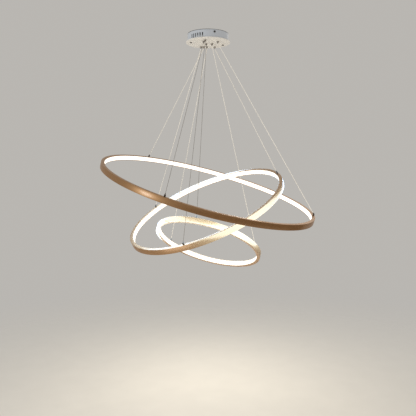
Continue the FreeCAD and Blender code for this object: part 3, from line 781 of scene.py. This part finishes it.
@dataclass
class Studio:
    """Camera, floor, background and soft light."""

    camera_place: Point = (0.0, -1.851, -0.4956)
    camera_pitch: float = -4.13
    lens: float = 43.3
    sensor: float = 36.0
    backdrop: Colour = (0.487, 0.470, 0.443)
    daylight: float = 0.62
    daylight_colour: Colour = (1.0, 0.985, 0.96)
    floor_colour: Colour = (0.80, 0.76, 0.69)
    floor_level: float = -1.75
    floor_radius: float = 3.4
    fade_from: float = 0.3
    floor_facets: int = 96
    recess_radius: float = 0.0738
    recess_level: float = 0.0003
    recess_facets: int = 64
    ceiling_dimming: float = 0.3
    card: Mottled = Mottled("tan_card", (0.24, 0.14, 0.07), (0.21, 0.12, 0.06), 0.0, 0.9, 0.05, 3.0, 200.0)
    card_radii: Spot = (1.9, 4.6)
    card_lift: float = 0.01
    card_azimuths: Spot = (-118.0, 28.0)
    card_facets: int = 24
    pool: Lamp = Lamp("pool", (0.0, 1.2, -0.55), (0.0, 1.2, -1.75), 0.5, 7.5, (1.0, 0.93, 0.80))
    window: Lamp = Lamp("window", (-2.45, -1.5, -0.75), (0.0, 0.0, -0.6), 0.6, 16.0, (0.84, 0.93, 1.0))
    back: Lamp = Lamp("back", (1.2, 2.4, 0.8), (0.0, 0.0, -0.6), 1.6, 6.0, (1.0, 0.97, 0.93))

    def camera(self) -> None:
        """Sets the camera at the photograph's place."""
        data = bpy.data.cameras.new("camera")
        data.lens = self.lens
        data.sensor_width = self.sensor
        made = link(bpy.data.objects.new("camera", data))
        made.location = self.camera_place
        made.rotation_euler = (math.radians(90.0 + self.camera_pitch), 0.0, 0.0)
        bpy.context.scene.camera = made

    def world(self) -> None:
        """A plain background for what is seen or mirrored, and a plain soft light for what is lit."""
        world = bpy.data.worlds.new("room")
        bpy.context.scene.world = world
        world.use_nodes = True
        nodes = Nodes(world.node_tree)
        lit = world.node_tree.nodes["Background"]
        nodes.feed(lit.inputs[0], self.daylight_colour)
        nodes.feed(lit.inputs[1], self.daylight)
        seen = nodes.node("Background", self.backdrop)
        rays = nodes.node("LightPath").outputs
        mirrored = nodes.maths("MAXIMUM", rays["Is Glossy Ray"], rays["Is Transmission Ray"])
        share = nodes.maths("MAXIMUM", rays["Is Camera Ray"], mirrored)
        mix = nodes.node("MixShader", share, lit.outputs[0], seen.outputs[0])
        nodes.feed(world.node_tree.nodes["World Output"].inputs[0], mix.outputs[0])

    def floor(self) -> None:
        """A pale round floor that fades into the background towards its rim, with a pool of light on it."""
        disc = Shape()
        disc.disc(self.floor_radius, self.floor_facets, Matrix.Translation((0, 0, self.floor_level)))
        shader = Shader("pale_floor")
        here = shader.place()
        speck = shader.spread(shader.noise(here, 9.0, 4.0))
        away = shader.reach(here)
        shader.set(
            Base_Color=shader.blend(speck, self.floor_colour, dimmed(self.floor_colour, 0.97)),
            Roughness=0.8,
            Alpha=shader.spread(away, 1.0, 0.0, self.fade_from * self.floor_radius, self.floor_radius),
        )
        made = disc.thing("floor", shader.material)
        self.pool.hang([made])

    def flag(self) -> None:
        """A tan card on the floor, which only mirroring surfaces see: the rings' front and right sides."""
        low, high = (math.radians(angle) for angle in self.card_azimuths)
        arc = Shape()
        arc.section([(radius, self.floor_level + self.card_lift) for radius in self.card_radii])
        arc.move(Matrix.Rotation(low, 4, "Z"))
        arc.spin(high - low, self.card_facets)
        arc.face_out()
        made = arc.thing("tan_card", self.card.material())
        made.visible_camera = False
        made.visible_diffuse = False
        made.visible_shadow = False

    def recess(self) -> None:
        """The ceiling over the canopy, in near black: painted shade for the canopy's dark inside.

        The camera sees it from below and not from above. To every other ray it is partly see-through, on
        both sides, so that it takes most of the daylight from the canopy's inside.
        """
        disc = Shape()
        level = Matrix.Translation((0, 0, self.recess_level))
        disc.disc(self.recess_radius, self.recess_facets, level @ Matrix.Rotation(math.pi, 4, "X"))
        shader = Shader("ceiling_dark")
        # Painted shade: a near-black colour with faint noise, for the dark inside of the canopy seen through
        # the vents.
        shade_speckle = shader.spread(shader.noise(shader.place(), 200.0), 0.010, 0.022)
        shade = shader.node("CombineColor", shade_speckle, shade_speckle, shade_speckle).outputs[0]
        below = shader.maths("SUBTRACT", 1.0, shader.node("NewGeometry").outputs["Backfacing"])
        seen = shader.node("LightPath").outputs["Is Camera Ray"]
        dimming = shader.maths("MULTIPLY", shader.maths("SUBTRACT", 1.0, seen), self.ceiling_dimming)
        alpha = shader.maths("MULTIPLY_ADD", below, seen, dimming)
        shader.set(Base_Color=shade, Roughness=0.9, Alpha=alpha)
        made = disc.thing("ceiling_recess", shader.material)

    def build(self) -> None:
        """Builds the studio."""
        bpy.context.scene.view_settings.view_transform = "Standard"
        self.camera()
        self.world()
        self.floor()
        self.flag()
        self.recess()
        self.window.hang()
        self.back.hang()


# --- Cables ---


@dataclass(frozen=True)
class RingFacts:
    """Where a ring hangs, how it leans and where its cables meet it and the canopy plate."""

    ring: Ring
    radius: float
    centre: Point
    tilt: float
    tilt_azimuth: float
    rim_angles: tuple[float, float, float]
    holes: tuple[Spot, Spot, Spot]
    travel: float
    chips: int
    seam_angle: float = 75.0

    def place(self) -> Matrix:
        """The ring's own frame: its Z axis leans towards the tilt azimuth."""
        swing = Matrix.Rotation(math.radians(self.tilt_azimuth), 4, "Z")
        lean = Matrix.Rotation(math.radians(self.tilt), 4, "Y")
        return Matrix.Translation(self.centre) @ swing @ lean @ swing.inverted()

    def hole(self, cable: Cable) -> Vector:
        """The centre of a cable's hole in the canopy plate, on the ceiling plane."""
        return polar(*self.holes[list(Cable).index(cable)])

    def rim_angle(self, cable: Cable) -> float:
        """The angle round the ring at which a cable meets it."""
        return self.rim_angles[list(Cable).index(cable)]


FACTS = (
    RingFacts(
        Ring.LARGE, 0.400, (0.0029, -0.0009, -0.5558), 17.5, -30.6, (133.3, -109.4, -5.8),
        ((0.0535, 107.5), (0.031, -121.0), (0.0425, -34.5)), 0.25, 100,
    ),
    RingFacts(
        Ring.MIDDLE, 0.300, (-0.0088, -0.0038, -0.6283), 27.3, -144.5, (134.2, -107.0, 6.3),
        ((0.060, 116.0), (0.0465, -102.5), (0.0605, 66.0)), 0.04, 74,
    ),
    RingFacts(
        Ring.SMALL, 0.200, (0.0, 0.0048, -0.7616), 31.8, 59.5, (140.1, -107.1, 8.2),
        ((0.051, 94.5), (0.010, 130.0), (0.0165, 30.0)), 0.16, 49,
    ),
)


@dataclass
class Suspension:
    """The nine taut cables, with their upright ends through the grips.

    A ring's swing tilts its cables about one common line, so a cable away from that line slides a little
    in its grip. Each run starts that much further inside, so that no gap opens.
    """

    nose_level: float = -0.03655
    tail_top: float = -0.015
    inside_grip: float = 0.001
    swing: float = 4.0
    inside_ferrule: float = 0.003
    stud_inset: float = 0.0056
    half_rim: float = 0.010
    stud_length: float = 0.005
    ferrule_length: float = 0.006
    feed_radius: float = 0.0009
    steel_radius: float = 0.0006
    rope_valley: float = 0.83
    strand_pitch: float = 0.007
    steps_per_turn: int = 5
    plain_step: float = 0.02

    def ends(self, facts: RingFacts, cable: Cable) -> tuple[Vector, Vector]:
        """The centres of the button's ball end and of the ring stud's dome, between which a cable runs."""
        top = facts.hole(cable) + Vector((0, 0, self.nose_level))
        reach = facts.radius - self.stud_inset
        dome = polar(reach, facts.rim_angle(cable), self.half_rim + self.stud_length)
        return top, facts.place() @ dome

    def route(self, start: Vector, end: Vector) -> list[Point]:
        """The points along the spline of a taut cable."""
        line, _ = smooth_line("route", (start, end))
        carrier = bpy.data.objects.new("route", line)
        data = bpy.data.meshes.new_from_object(carrier)
        spots = [tuple(vertex.co) for vertex in data.vertices]
        bpy.data.objects.remove(carrier)
        bpy.data.curves.remove(line)
        bpy.data.meshes.remove(data)
        return spots

    def strand(self, radius: float, length: float, lobed: bool) -> Shape:
        """A straight cable along +Z, as one section screwed along its own axis.

        Args:
            radius: its radius.
            length: its length.
            lobed: whether its section has the six lobes of a bare rope.

        Returns:
            The shape, with surface coordinates along and round it.
        """
        made = Shape()
        sides = 12 if lobed else 14
        bmesh.ops.create_circle(made.mesh, cap_ends=False, segments=sides, radius=radius)
        turns = length / self.strand_pitch
        if lobed:
            valleys = [vert for index, vert in enumerate(made.mesh.verts) if index % 2]
            bmesh.ops.scale(made.mesh, vec=(self.rope_valley, self.rope_valley, 1.0), verts=valleys)
        steps = max(2, round(turns * self.steps_per_turn if lobed else length / self.plain_step))
        made.spin(math.tau * turns if lobed else 0.0, steps, length)
        made.cap(sides)
        layer = made.mesh.loops.layers.uv.new("Surface")
        for face in made.mesh.faces:
            middle = face.calc_center_median()
            facing = math.atan2(middle.y, middle.x)
            for loop in face.loops:
                spot = loop.vert.co
                around = facing + math.remainder(math.atan2(spot.y, spot.x) - facing, math.tau)
                loop[layer].uv = (spot.z / self.strand_pitch, around / math.tau)
        return made

    def cable(self, facts: RingFacts, cable: Cable, finishes: dict[CableKind, Material]) -> None:
        """Args:
            facts: the ring that hangs from it.
            cable: which of its cables. The near one is bare steel and the others feed the ring.
            finishes: the finish of each kind.
        """
        name = f"{facts.ring.value}_cable_{cable.value}"
        lobed = cable is Cable.B
        kind = CableKind.STEEL if lobed else CableKind.FEED
        radius = self.steel_radius if lobed else self.feed_radius
        finish = finishes[kind]
        top, bottom = self.ends(facts, cable)
        down = (bottom - top).normalized()
        inside = self.inside_grip + abs(top.y) * math.sin(math.radians(self.swing))
        path = self.route(top - down * inside, bottom - down * (self.ferrule_length - self.inside_ferrule))
        start, end = Vector(path[0]), Vector(path[-1])
        length = (end - start).length
        run = self.strand(radius, length, lobed)
        run.move(upright(start, down))
        piece = run.piece(
            f"{name}_run", finish, f"{facts.ring.value}_cables", kind.value, name, smooth=ROPE_SMOOTH_BELOW
        )
        end_part = self.strand(radius, self.tail_top - self.nose_level, lobed)
        end_part.move(Matrix.Translation(top))
        tail = end_part.piece(
            f"{name}_tail", finish, "canopy", kind.value, "cable_tails", smooth=ROPE_SMOOTH_BELOW
        )
        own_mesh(piece)

    def build(self) -> None:
        """Builds all nine cables."""
        finishes = {kind: skin.material() for kind, skin in CABLE_SKINS.items()}
        for facts in FACTS:
            for cable in Cable:
                self.cable(facts, cable, finishes)


# --- Light rings ---


@dataclass(frozen=True)
class StripLight:
    """How a strip's light reaches one group of objects: its radiance, its lamps' height and its colour."""

    radiance: float
    height: float
    colour: Colour


@dataclass
class LightRing:
    """One ring: channel, diffuser, light strip, seam splice and cable studs."""

    facts: RingFacts
    suspension: Suspension
    height: float = 0.020
    depth: float = 0.012
    wall: float = 0.0012
    rim_round: float = 0.00055
    rib_depth: float = 0.0016
    rib_height: float = 0.0018
    lip_depth: float = 0.0008
    lip_height: float = 0.0006
    seam_gap: float = 0.0002
    facets: int = 300
    proud: float = 0.0004
    diffuser_body: float = 0.0026
    diffuser_round: float = 0.0005
    fit: float = 0.0001
    splice_length: float = 0.040
    splice_screw: Screw = Screw(0.0025, 0.0006, facets=32)
    screw_depth: float = 0.0004
    stud_radius: float = 0.003
    stud_facets: int = 32
    stud_foot: float = 0.0003
    dome: float = 0.97
    ferrule_radius: float = 0.0016
    ferrule_facets: int = 24
    ferrule_round: float = 0.0004
    crimp: float = 0.86
    crimp_levels: tuple[float, float, float, float] = (0.56, 0.62, 0.74, 0.80)
    lamp_spacing: float = 0.2

    @property
    def name(self) -> str:
        """The ring's name, which starts its pieces' names."""
        return self.facts.ring.value

    def piece(self, shape: Shape, name: str, material: Material, slot: str, node: str) -> None:
        """Moves a shape from the ring's own frame to its place and makes a piece of it.

        Args:
            shape: the shape.
            name: the piece's name, after the ring's.
            material: its finish.
            slot: its slot.
            node: the node that it stands for, after the ring's name.
        """
        shape.move(self.facts.place())
        shape.piece(f"{self.name}_{name}", material, f"{self.name}_ring", slot, f"{self.name}_{node}")

    def channel(self, bronze: Material) -> None:
        """Builds the aluminium channel, open at its seam by a hair."""
        outer = self.facts.radius
        inner = outer - self.depth
        half = self.height / 2
        roof = half - self.wall
        rib_face = outer - self.wall - self.rib_depth
        upper = [
            (outer, half), (inner, half), (inner, roof - self.lip_height),
            (inner + self.lip_depth, roof - self.lip_height), (inner + self.lip_depth, roof),
            (rib_face, roof), (rib_face, roof - self.rib_height), (outer - self.wall, roof - self.rib_height),
        ]
        made = Shape()
        points = made.mirrored(upper)
        made.mesh.faces.new(points)
        made.round([points[0], points[1], points[-2], points[-1]], self.rim_round, 3)
        gap = self.seam_gap / outer
        made.spin(math.tau - gap, self.facets)
        made.face_out()
        made.move(Matrix.Rotation(math.radians(self.facts.seam_angle) + gap / 2, 4, "Z"))
        self.piece(made, "channel", bronze, "rim_bronze", "rim_channel")

    def diffuser(self, opal: Material) -> None:
        """Builds the milky strip with its rounded front."""
        inner = self.facts.radius - self.depth
        back = inner + self.lip_depth + self.fit
        half = self.height / 2 - self.wall - self.fit
        front_half = half - self.lip_height
        upper = [
            (back + self.diffuser_body, half), (back, half), (back, front_half),
            (inner - self.proud, front_half),
        ]
        made = Shape()
        points = made.mirrored(upper)
        made.round(points[3:5], self.diffuser_round, 4)
        made.lathe(self.facets)
        self.piece(made, "opal", opal, "diffuser_milk", "diffuser")

    def stud(self, cable: Cable) -> Shape:
        """Builds one cable's stud in the ring's own frame: barrel, dome and crimped ferrule."""
        length = self.suspension.stud_length
        radius = self.stud_radius
        made = Shape()
        points = made.section([(0.0, 0.0), (radius, 0.0), (radius, length + radius), (0.0, length + radius)])
        made.round(points[1:2], self.stud_foot, 2)
        made.round(points[2:3], radius * self.dome, 8)
        made.lathe(self.stud_facets)
        reach = self.suspension.ferrule_length
        slim = self.ferrule_radius
        waist = self.crimp * slim
        crimp = zip((slim, waist, waist, slim), (share * reach for share in self.crimp_levels))
        sleeve = Shape()
        corners = sleeve.section([(0.0, 0.0), (slim, 0.0), *crimp, (slim, reach), (0.0, reach)])
        sleeve.round(corners[-2:-1], self.ferrule_round, 3)
        sleeve.lathe(self.ferrule_facets)
        top, bottom = self.suspension.ends(self.facts, cable)
        along = self.facts.place().to_3x3().inverted() @ (top - bottom).normalized()
        made.add(sleeve, upright(Vector((0, 0, length)), along))
        out = self.facts.radius - self.suspension.stud_inset
        made.move(Matrix.Translation(polar(out, self.facts.rim_angle(cable), self.height / 2)))
        return made

    def studs(self, black: Material) -> None:
        """Builds the ring's three studs as one piece."""
        made = Shape()
        for cable in Cable:
            made.add(self.stud(cable), Matrix.Identity(4))
        self.piece(made, "studs", black, "stud_black", "rim_studs")

    def splice_screws(self, dark: Material) -> None:
        """Builds the two flat screws beside the seam, a hair proud of the channel."""
        made = Shape()
        step = math.degrees(self.splice_length / 4 / self.facts.radius)
        for side in (-1, 1):
            outwards = polar(1.0, self.facts.seam_angle + side * step)
            low = outwards * (self.facts.radius - self.screw_depth)
            made.add(self.splice_screw.shape(), upright(low, outwards))
        self.piece(made, "seam_screws", dark, "dark_screw", "splice_screws")

    def shine(self, light: StripLight, group: Collection) -> None:
        """Hangs lamps along the strip that cast its light inwards, on a group of objects only."""
        reach = self.facts.radius - self.depth - 2 * self.proud
        count = round(math.tau * reach / self.lamp_spacing)
        chord = 2 * reach * math.sin(math.pi / count)
        power = light.radiance * math.pi * chord * light.height
        inwards = Matrix(((0, 0, 1, 0), (1, 0, 0, 0), (0, 1, 0, 0), (0, 0, 0, 1)))
        spot = Matrix.Translation((reach * math.cos(math.pi / count), 0, 0))
        for index in range(count):
            made = area_lamp(f"{self.name}_{group.name}_{index}", chord, power, light.colour, group)
            made.data.shape = "RECTANGLE"
            made.data.size_y = light.height
            made.data.cycles.max_bounces = 1
            turn = Matrix.Rotation(math.tau * index / count, 4, "Z")
            made.matrix_world = self.facts.place() @ turn @ spot @ inwards

    def build(self, finishes: Finishes) -> None:
        """Builds and dresses the ring in its own and the shared finishes."""
        half = self.height / 2
        own = (self.facts.centre, tuple(self.facts.place().to_euler()))
        bronze = SatinBronze(f"satin_bronze_{self.name}", *own, half)
        opal = LitOpal(f"lit_opal_{self.name}", *own, half - self.wall, self.facts.chips)
        self.channel(bronze.material())
        self.diffuser(opal.material())
        self.studs(finishes["black"])
        self.splice_screws(finishes["dark"])
        for node, finish in (("led_board", "board"), ("led_chips", "phosphor"), ("splice_plate", "zinc")):
            dress(f"{self.name}_{node}", finishes[finish])


# --- Cable grips ---


@dataclass
class CableGrips:
    """The nine sprung grips in the canopy plate."""

    plate_level: float = -0.030
    flange_radius: float = 0.0046
    flange: float = 0.0012
    skirt_top: float = 0.0044
    skirt_foot: float = 0.0025
    skirt: float = 0.0045
    stem_radius: float = 0.003
    stem_top: float = -0.0185
    roof: float = 0.001
    chamber: float = 0.00215
    chamber_low: float = -0.0335
    mouth: float = 0.0018
    outlet: float = 0.00105
    edge_round: float = 0.00025
    facets: int = 36
    coil_radius: float = 0.00168
    wire: float = 0.00028
    wire_facets: int = 7
    coil_low: float = -0.0314
    coils: int = 8
    steps_per_coil: int = 14
    travel: float = 0.0018

    def body(self) -> Shape:
        """One grip's body on the Z axis: skirt, flange and bored stem."""
        top = self.plate_level - self.flange
        foot = top - self.skirt
        ceiling = self.stem_top - self.roof
        made = Shape()
        points = made.section([
            (self.mouth, foot), (self.skirt_foot, foot), (self.skirt_top, top), (self.flange_radius, top),
            (self.flange_radius, self.plate_level), (self.stem_radius, self.plate_level),
            (self.stem_radius, self.stem_top), (self.outlet, self.stem_top), (self.outlet, ceiling),
            (self.chamber, ceiling), (self.chamber, self.chamber_low), (self.mouth, self.chamber_low),
        ], True)
        made.round([points[1], points[3], points[4], points[6]], self.edge_round, 2)
        made.lathe(self.facets)
        return made

    def spring(self) -> Shape:
        """One spring on the Z axis: a round wire screwed along its height."""
        height = self.stem_top - self.roof - self.coil_low - 2 * self.wire
        start = Matrix.Translation((self.coil_radius, 0, self.coil_low + self.wire))
        made = Shape()
        bmesh.ops.create_circle(
            made.mesh, cap_ends=False, segments=self.wire_facets, radius=self.wire,
            matrix=start @ Matrix.Rotation(math.pi / 2, 4, "X"),
        )
        made.spin(math.tau * self.coils, self.coils * self.steps_per_coil, height)
        made.cap(self.wire_facets)
        return made

    def build(self, finishes: Finishes) -> None:
        """Builds the grips and their springs, and dresses nuts and buttons, in the shared finishes."""
        bodies = Shape()
        for facts in FACTS:
            for cable in Cable:
                hole = facts.hole(cable)
                bodies.add(self.body(), Matrix.Translation(hole))
                spring = self.spring()
                spring.move(Matrix.Translation(hole))
                name = f"{facts.ring.value}_spring_{cable.value}"
                piece = spring.piece(
                    name, finishes["wire"], "canopy", "spring_steel", "grip_springs", smooth=COIL_SMOOTH_BELOW
                )
                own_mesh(piece)
                dress(f"{facts.ring.value}_plunger_{cable.value}", finishes["turned"])
        bodies.piece("cable_grips", finishes["nickel"], "canopy", "grip_nickel", "grip_bodies")
        dress("grip_nuts", finishes["nickel"])


# --- Canopy ---


@dataclass
class Canopy:
    """Drum, plate, bracket, screws, and the driver and wiring inside."""

    plate_low: float = -0.030
    plate_top: float = -0.0275
    plate_radius: float = 0.080
    plate_facets: int = 144
    top_round: float = 0.0003
    edge_round: float = 0.001
    stem_bore: float = 0.0031
    screw_bore: float = 0.0021
    drill_length: float = 0.008
    drill_facets: int = 36
    drum_radius: float = 0.074
    drum_wall: float = 0.0012
    drum_top: float = -0.001
    drum_facet: float = 2.6
    drum_ease: float = 0.00018
    vent_width: float = 0.004
    vent_low: float = -0.026
    vent_high: float = -0.0105
    vent_azimuth: float = -105.0
    vent_step: float = 7.0
    vent_count: int = 6
    tab_inset: float = 0.017
    tab_width: float = 0.014
    tab_thickness: float = 0.002
    tab_ease: float = 0.0003
    screw_azimuths: Spot = (-173.5, 28.6)
    screw_circle: float = 0.062
    plate_screw: Screw = Screw(0.004, 0.0018, shank=0.0075)
    bracket_azimuth: float = -72.0
    side_screw_level: float = -0.0085
    side_screw: Screw = Screw(0.0036, 0.0024, shank=0.007)
    earth: Spot = (0.053, 0.016)
    earth_screw: Screw = Screw(0.0038, 0.0022, Drive.SLOT, shank=0.002)
    # Drum and plate are the same white paint. The drum's darker, bluish grey is painted shade under cool
    # daylight. The plate's warm cream is painted warm light on its underside.
    drum_white_in_shade: Colour = (0.60, 0.625, 0.66)
    plate_white_in_warm_light: Colour = (0.83, 0.79, 0.73)
    pad_press: float = 0.35
    lead_radius: float = 0.0011
    lead_levels: Spot = (-0.0215, -0.0185)
    mains: tuple[Spot, ...] = (
        (0.053, -0.027), (0.053, -0.039), (0.0278, -0.0596), (0.0, -0.0658), (-0.0262, -0.0603),
        (-0.0439, -0.050), (-0.0439, -0.038),
    )
    output: tuple[Spot, ...] = (
        (-0.0384, 0.034), (-0.0384, 0.0425), (-0.0314, 0.046), (-0.0244, 0.0425), (-0.019, 0.030),
        (-0.010, 0.030),
    )

    def drum(self, paint: Material) -> None:
        """Builds the drum: a wall spun column by column, with its vents left open, given its thickness."""
        half = math.asin(self.vent_width / 2 / self.drum_radius)
        vents = sorted(
            math.radians((self.vent_azimuth - index * self.vent_step + opposite) % 360.0)
            for index in range(self.vent_count) for opposite in (0.0, 180.0)
        )
        made = Shape()
        mesh = made.mesh
        levels = (self.plate_top, self.vent_low, self.vent_high, self.drum_top)
        made.section([(self.drum_radius, level) for level in levels])
        here = vents[0] + half
        made.move(Matrix.Rotation(here, 4, "Z"))
        edge = made.everything()
        middle = (self.vent_low + self.vent_high) / 2
        open_faces = []
        for vent in vents[1:] + [vents[0] + math.tau]:
            turn = vent - half - here
            edge = made.spin(turn, max(1, round(turn / math.radians(self.drum_facet))), parts=edge)
            before = set(mesh.faces)
            edge = made.spin(2 * half, 1, parts=edge)
            fresh = [face for face in mesh.faces if face not in before]
            open_faces += [face for face in fresh if abs(face.calc_center_median().z - middle) < 1e-4]
            here = vent + half
        bmesh.ops.delete(mesh, geom=open_faces, context="FACES")
        made.clean()
        if sum(face.normal.dot(face.calc_center_median()) for face in mesh.faces) < 0:
            bmesh.ops.reverse_faces(mesh, faces=mesh.faces[:])
        bmesh.ops.solidify(mesh, geom=mesh.faces[:], thickness=self.drum_wall)
        made.face_out()
        made.ease(self.drum_ease, 2, 50.0)
        reach = self.tab_inset - self.drum_wall
        out = self.drum_radius - self.tab_inset + reach / 2
        for azimuth in self.screw_azimuths:
            tab = Shape()
            size = Matrix.Diagonal((reach, self.tab_width, self.tab_thickness, 1.0))
            bmesh.ops.create_cube(tab.mesh, size=1.0, matrix=size)
            tab.ease(self.tab_ease)
            shift = Matrix.Translation((out, 0.0, self.plate_top + self.tab_thickness / 2))
            made.add(tab, Matrix.Rotation(math.radians(azimuth), 4, "Z") @ shift)
        made.piece("drum_wall", paint, "canopy", "drum_white", "canopy_drum")

    def bore(self, piece: Object) -> None:
        """Drills the plate for the grips' stems, its two screws and the earth screw."""
        middle = (self.plate_low + self.plate_top) / 2
        spots = [(facts.hole(cable), self.stem_bore) for facts in FACTS for cable in Cable]
        spots += [(polar(self.screw_circle, azimuth), self.screw_bore) for azimuth in self.screw_azimuths]
        spots += [(Vector((*self.earth, 0.0)), self.screw_bore)]
        drills = Shape()
        for spot, radius in spots:
            at = Matrix.Translation((spot.x, spot.y, middle))
            drills.cone(radius, radius, self.drill_length, self.drill_facets, at)
        cutter = drills.thing("drills")
        cut = piece.modifiers.new("bores", "BOOLEAN")
        cut.object = cutter
        cut.solver = "EXACT"
        bpy.context.view_layer.update()
        drilled = bpy.data.meshes.new_from_object(piece.evaluated_get(bpy.context.evaluated_depsgraph_get()))
        piece.modifiers.clear()
        piece.data = drilled
        drilled.set_sharp_from_angle(angle=math.radians(SMOOTH_BELOW))
        data = cutter.data
        bpy.data.objects.remove(cutter)
        bpy.data.meshes.remove(data)

    def plate(self, paint: Material) -> None:
        """Builds the round plate with its soft lower edge."""
        made = Shape()
        rim = self.plate_radius
        points = made.section(
            [(0.0, self.plate_top), (rim, self.plate_top), (rim, self.plate_low), (0.0, self.plate_low)]
        )
        made.round(points[1:2], self.top_round, 2)
        made.round(points[2:3], self.edge_round, 5)
        made.lathe(self.plate_facets)
        self.bore(made.piece("bottom_plate", paint, "canopy", "plate_white", "canopy_plate"))

    def screws(self, dark: Material, brass: Material) -> None:
        """Builds the plate screws, the side screws and the earth screw."""
        under, side = Shape(), Shape()
        for azimuth in self.screw_azimuths:
            spot = polar(self.screw_circle, azimuth, self.plate_low)
            under.add(self.plate_screw.shape(), upright(spot, Vector((0, 0, -1))))
        under.piece("plate_screw_pair", dark, "canopy", "dark_screw", "plate_screws")
        for opposite in (0.0, 180.0):
            outwards = polar(1.0, self.bracket_azimuth + opposite)
            spot = outwards * self.drum_radius + Vector((0, 0, self.side_screw_level))
            side.add(self.side_screw.shape(), upright(spot, outwards))
        side.piece("side_screw_pair", dark, "canopy", "dark_screw", "side_screws")
        earth = self.earth_screw.shape()
        earth.move(Matrix.Translation((*self.earth, self.plate_top)))
        earth.piece("earth_terminal", brass, "canopy", "brass_screw", "earth_screw")

    def pad(self, foam: Material) -> None:
        """Builds the foam pad under the driver, with its cut edges pressed a little outwards."""
        low, high = (Vector(corner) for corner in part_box("driver_pad"))
        size = high - low
        thick = size.z
        made = Shape()
        block = Matrix.Translation((low + high) / 2) @ Matrix.Diagonal((*size, 1.0))
        bmesh.ops.create_cube(made.mesh, size=1.0, matrix=block)
        ends = ((edge, *(vert.co.z for vert in edge.verts)) for edge in made.mesh.edges)
        made.bevel([edge for edge, first, last in ends if abs(first - last) > thick / 2], 2 * thick, 6)
        made.ease(self.pad_press * thick, 4, 60.0)
        piece = made.piece("driver_foam", foam, "canopy", "foam_pad", "driver_pad")

    def lead(self, name: str, node: str, route: Sequence[Spot], level: float, finish: Material) -> None:
        """Builds one insulated lead as a smooth line through the route's points.

        Args:
            name: the piece's name.
            node: the node that it stands for.
            route: the route's points, seen from above.
            level: its height.
            finish: its finish.
        """
        line, spline = smooth_line(name, ((*spot, level) for spot in route))
        line.bevel_depth = self.lead_radius
        line.bevel_resolution = 4
        line.resolution_u = 16
        line.use_fill_caps = True
        line.materials.append(finish)
        made = link(bpy.data.objects.new(name, line))
        bpy.context.view_layer.update()
        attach(made, "canopy")
        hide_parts(node)

    def build(self, finishes: Finishes) -> None:
        """Builds and dresses the canopy in its own and the shared finishes."""
        rims = {
            "drum": (self.drum_white_in_shade, self.drum_radius, (self.drum_top, self.plate_top)),
            "plate": (self.plate_white_in_warm_light, self.plate_radius, (self.plate_low, self.plate_top)),
        }
        drum, plate = (PowderCoat(f"{part}_paint", *facts).material() for part, facts in rims.items())
        self.drum(drum)
        self.plate(plate)
        self.screws(finishes["dark"], finishes["brass"])
        for index, level in enumerate(self.lead_levels, start=1):
            self.lead(f"mains_lead_{index}", "mains_leads", self.mains, level, finishes["sleeve"])
            self.lead(f"output_lead_{index}", "output_leads", self.output, level, finishes["sleeve"])
        self.pad(finishes["foam"])
        for node, finish in (
            ("ceiling_bracket", "zinc"), ("driver_case", "plastic"),
            ("mains_block", "block"), ("mains_block_screws", "brass"), ("output_block", "block"),
        ):
            dress(node, finishes[finish])


# --- The whole ---


@dataclass
class RingLight:
    """The light that the rings cast on the rest, by lamps that each reach only some objects.

    The strips' own lamps are strong and bluish on the channels and studs of the smaller rings inside a
    ring, whose bronze they turn cream, and weak and warm on the rest. Feed cables, canopy and the two
    inner rings' undersides each have one soft lamp that stands for the same light.
    """

    near: StripLight = StripLight(8.0, 0.24, (0.40, 0.66, 1.0))
    far: StripLight = StripLight(7.0, 0.015, LAMP_WHITE)
    glow: Lamp = Lamp("cable_glow", (0.9, -1.6, -1.4), (0.0, 0.0, -0.35), 1.4, 31.0, (1.0, 0.96, 0.90))
    uplight: Lamp = Lamp("uplight", (0.0, 0.0, -0.88), (0.0, 0.0, 0.0), 0.7, 1.0, LAMP_WHITE)
    spill: Lamp = Lamp("spill", (-0.9, -0.9, -1.5), FACTS[1].centre, 0.9, 5.0, (0.96, 0.97, 1.0))
    canopy: tuple[str, ...] = ("bottom_plate", "drum_wall", "cable_grips", "plate_screw_pair")

    def build(self, rings: Sequence[LightRing]) -> None:
        """Adds all the lamps. The rings come from the largest to the smallest."""
        things = list(bpy.context.scene.objects)
        channels = [f"{ring.name}_channel" for ring in rings]
        canopy = [item for item in things if item.name in self.canopy or "_plunger_" in item.name]
        feeds = [item for item in things if "_cable_a_" in item.name or "_cable_c_" in item.name]
        self.spill.hang([item for item in things if item.name in channels[1:]])
        self.glow.hang(feeds)
        self.uplight.hang(canopy)
        others = [
            item for item in things
            if item.type in {"MESH", "CURVE"} and item not in canopy
            and not item.name.endswith("_opal") and "_cable_" not in item.name
        ]
        for index, ring in enumerate(rings):
            smaller = tuple(f"{other.name}_" for other in rings[index + 1 :])
            close, rest = (bpy.data.collections.new(name) for name in ("near", "far"))
            for item in others:
                if item.name.startswith(smaller) and item.name.endswith(("_channel", "_studs")):
                    close.objects.link(item)
                elif item.name != channels[index]:
                    rest.objects.link(item)
            if smaller:
                ring.shine(self.near, close)
            ring.shine(self.far, rest)


def main() -> None:
    """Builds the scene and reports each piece."""
    logging.basicConfig(level=logging.INFO, format="%(name)s %(message)s")
    Studio().build()
    suspension = Suspension()
    suspension.build()
    finishes = {name: finish.material() for name, finish in SHARED_FINISHES.items()}
    rings = [LightRing(facts, suspension) for facts in FACTS]
    for ring in rings:
        ring.build(finishes)
    CableGrips().build(finishes)
    Canopy().build(finishes)
    RingLight().build(rings)


if __name__ == "__main__":
    main()
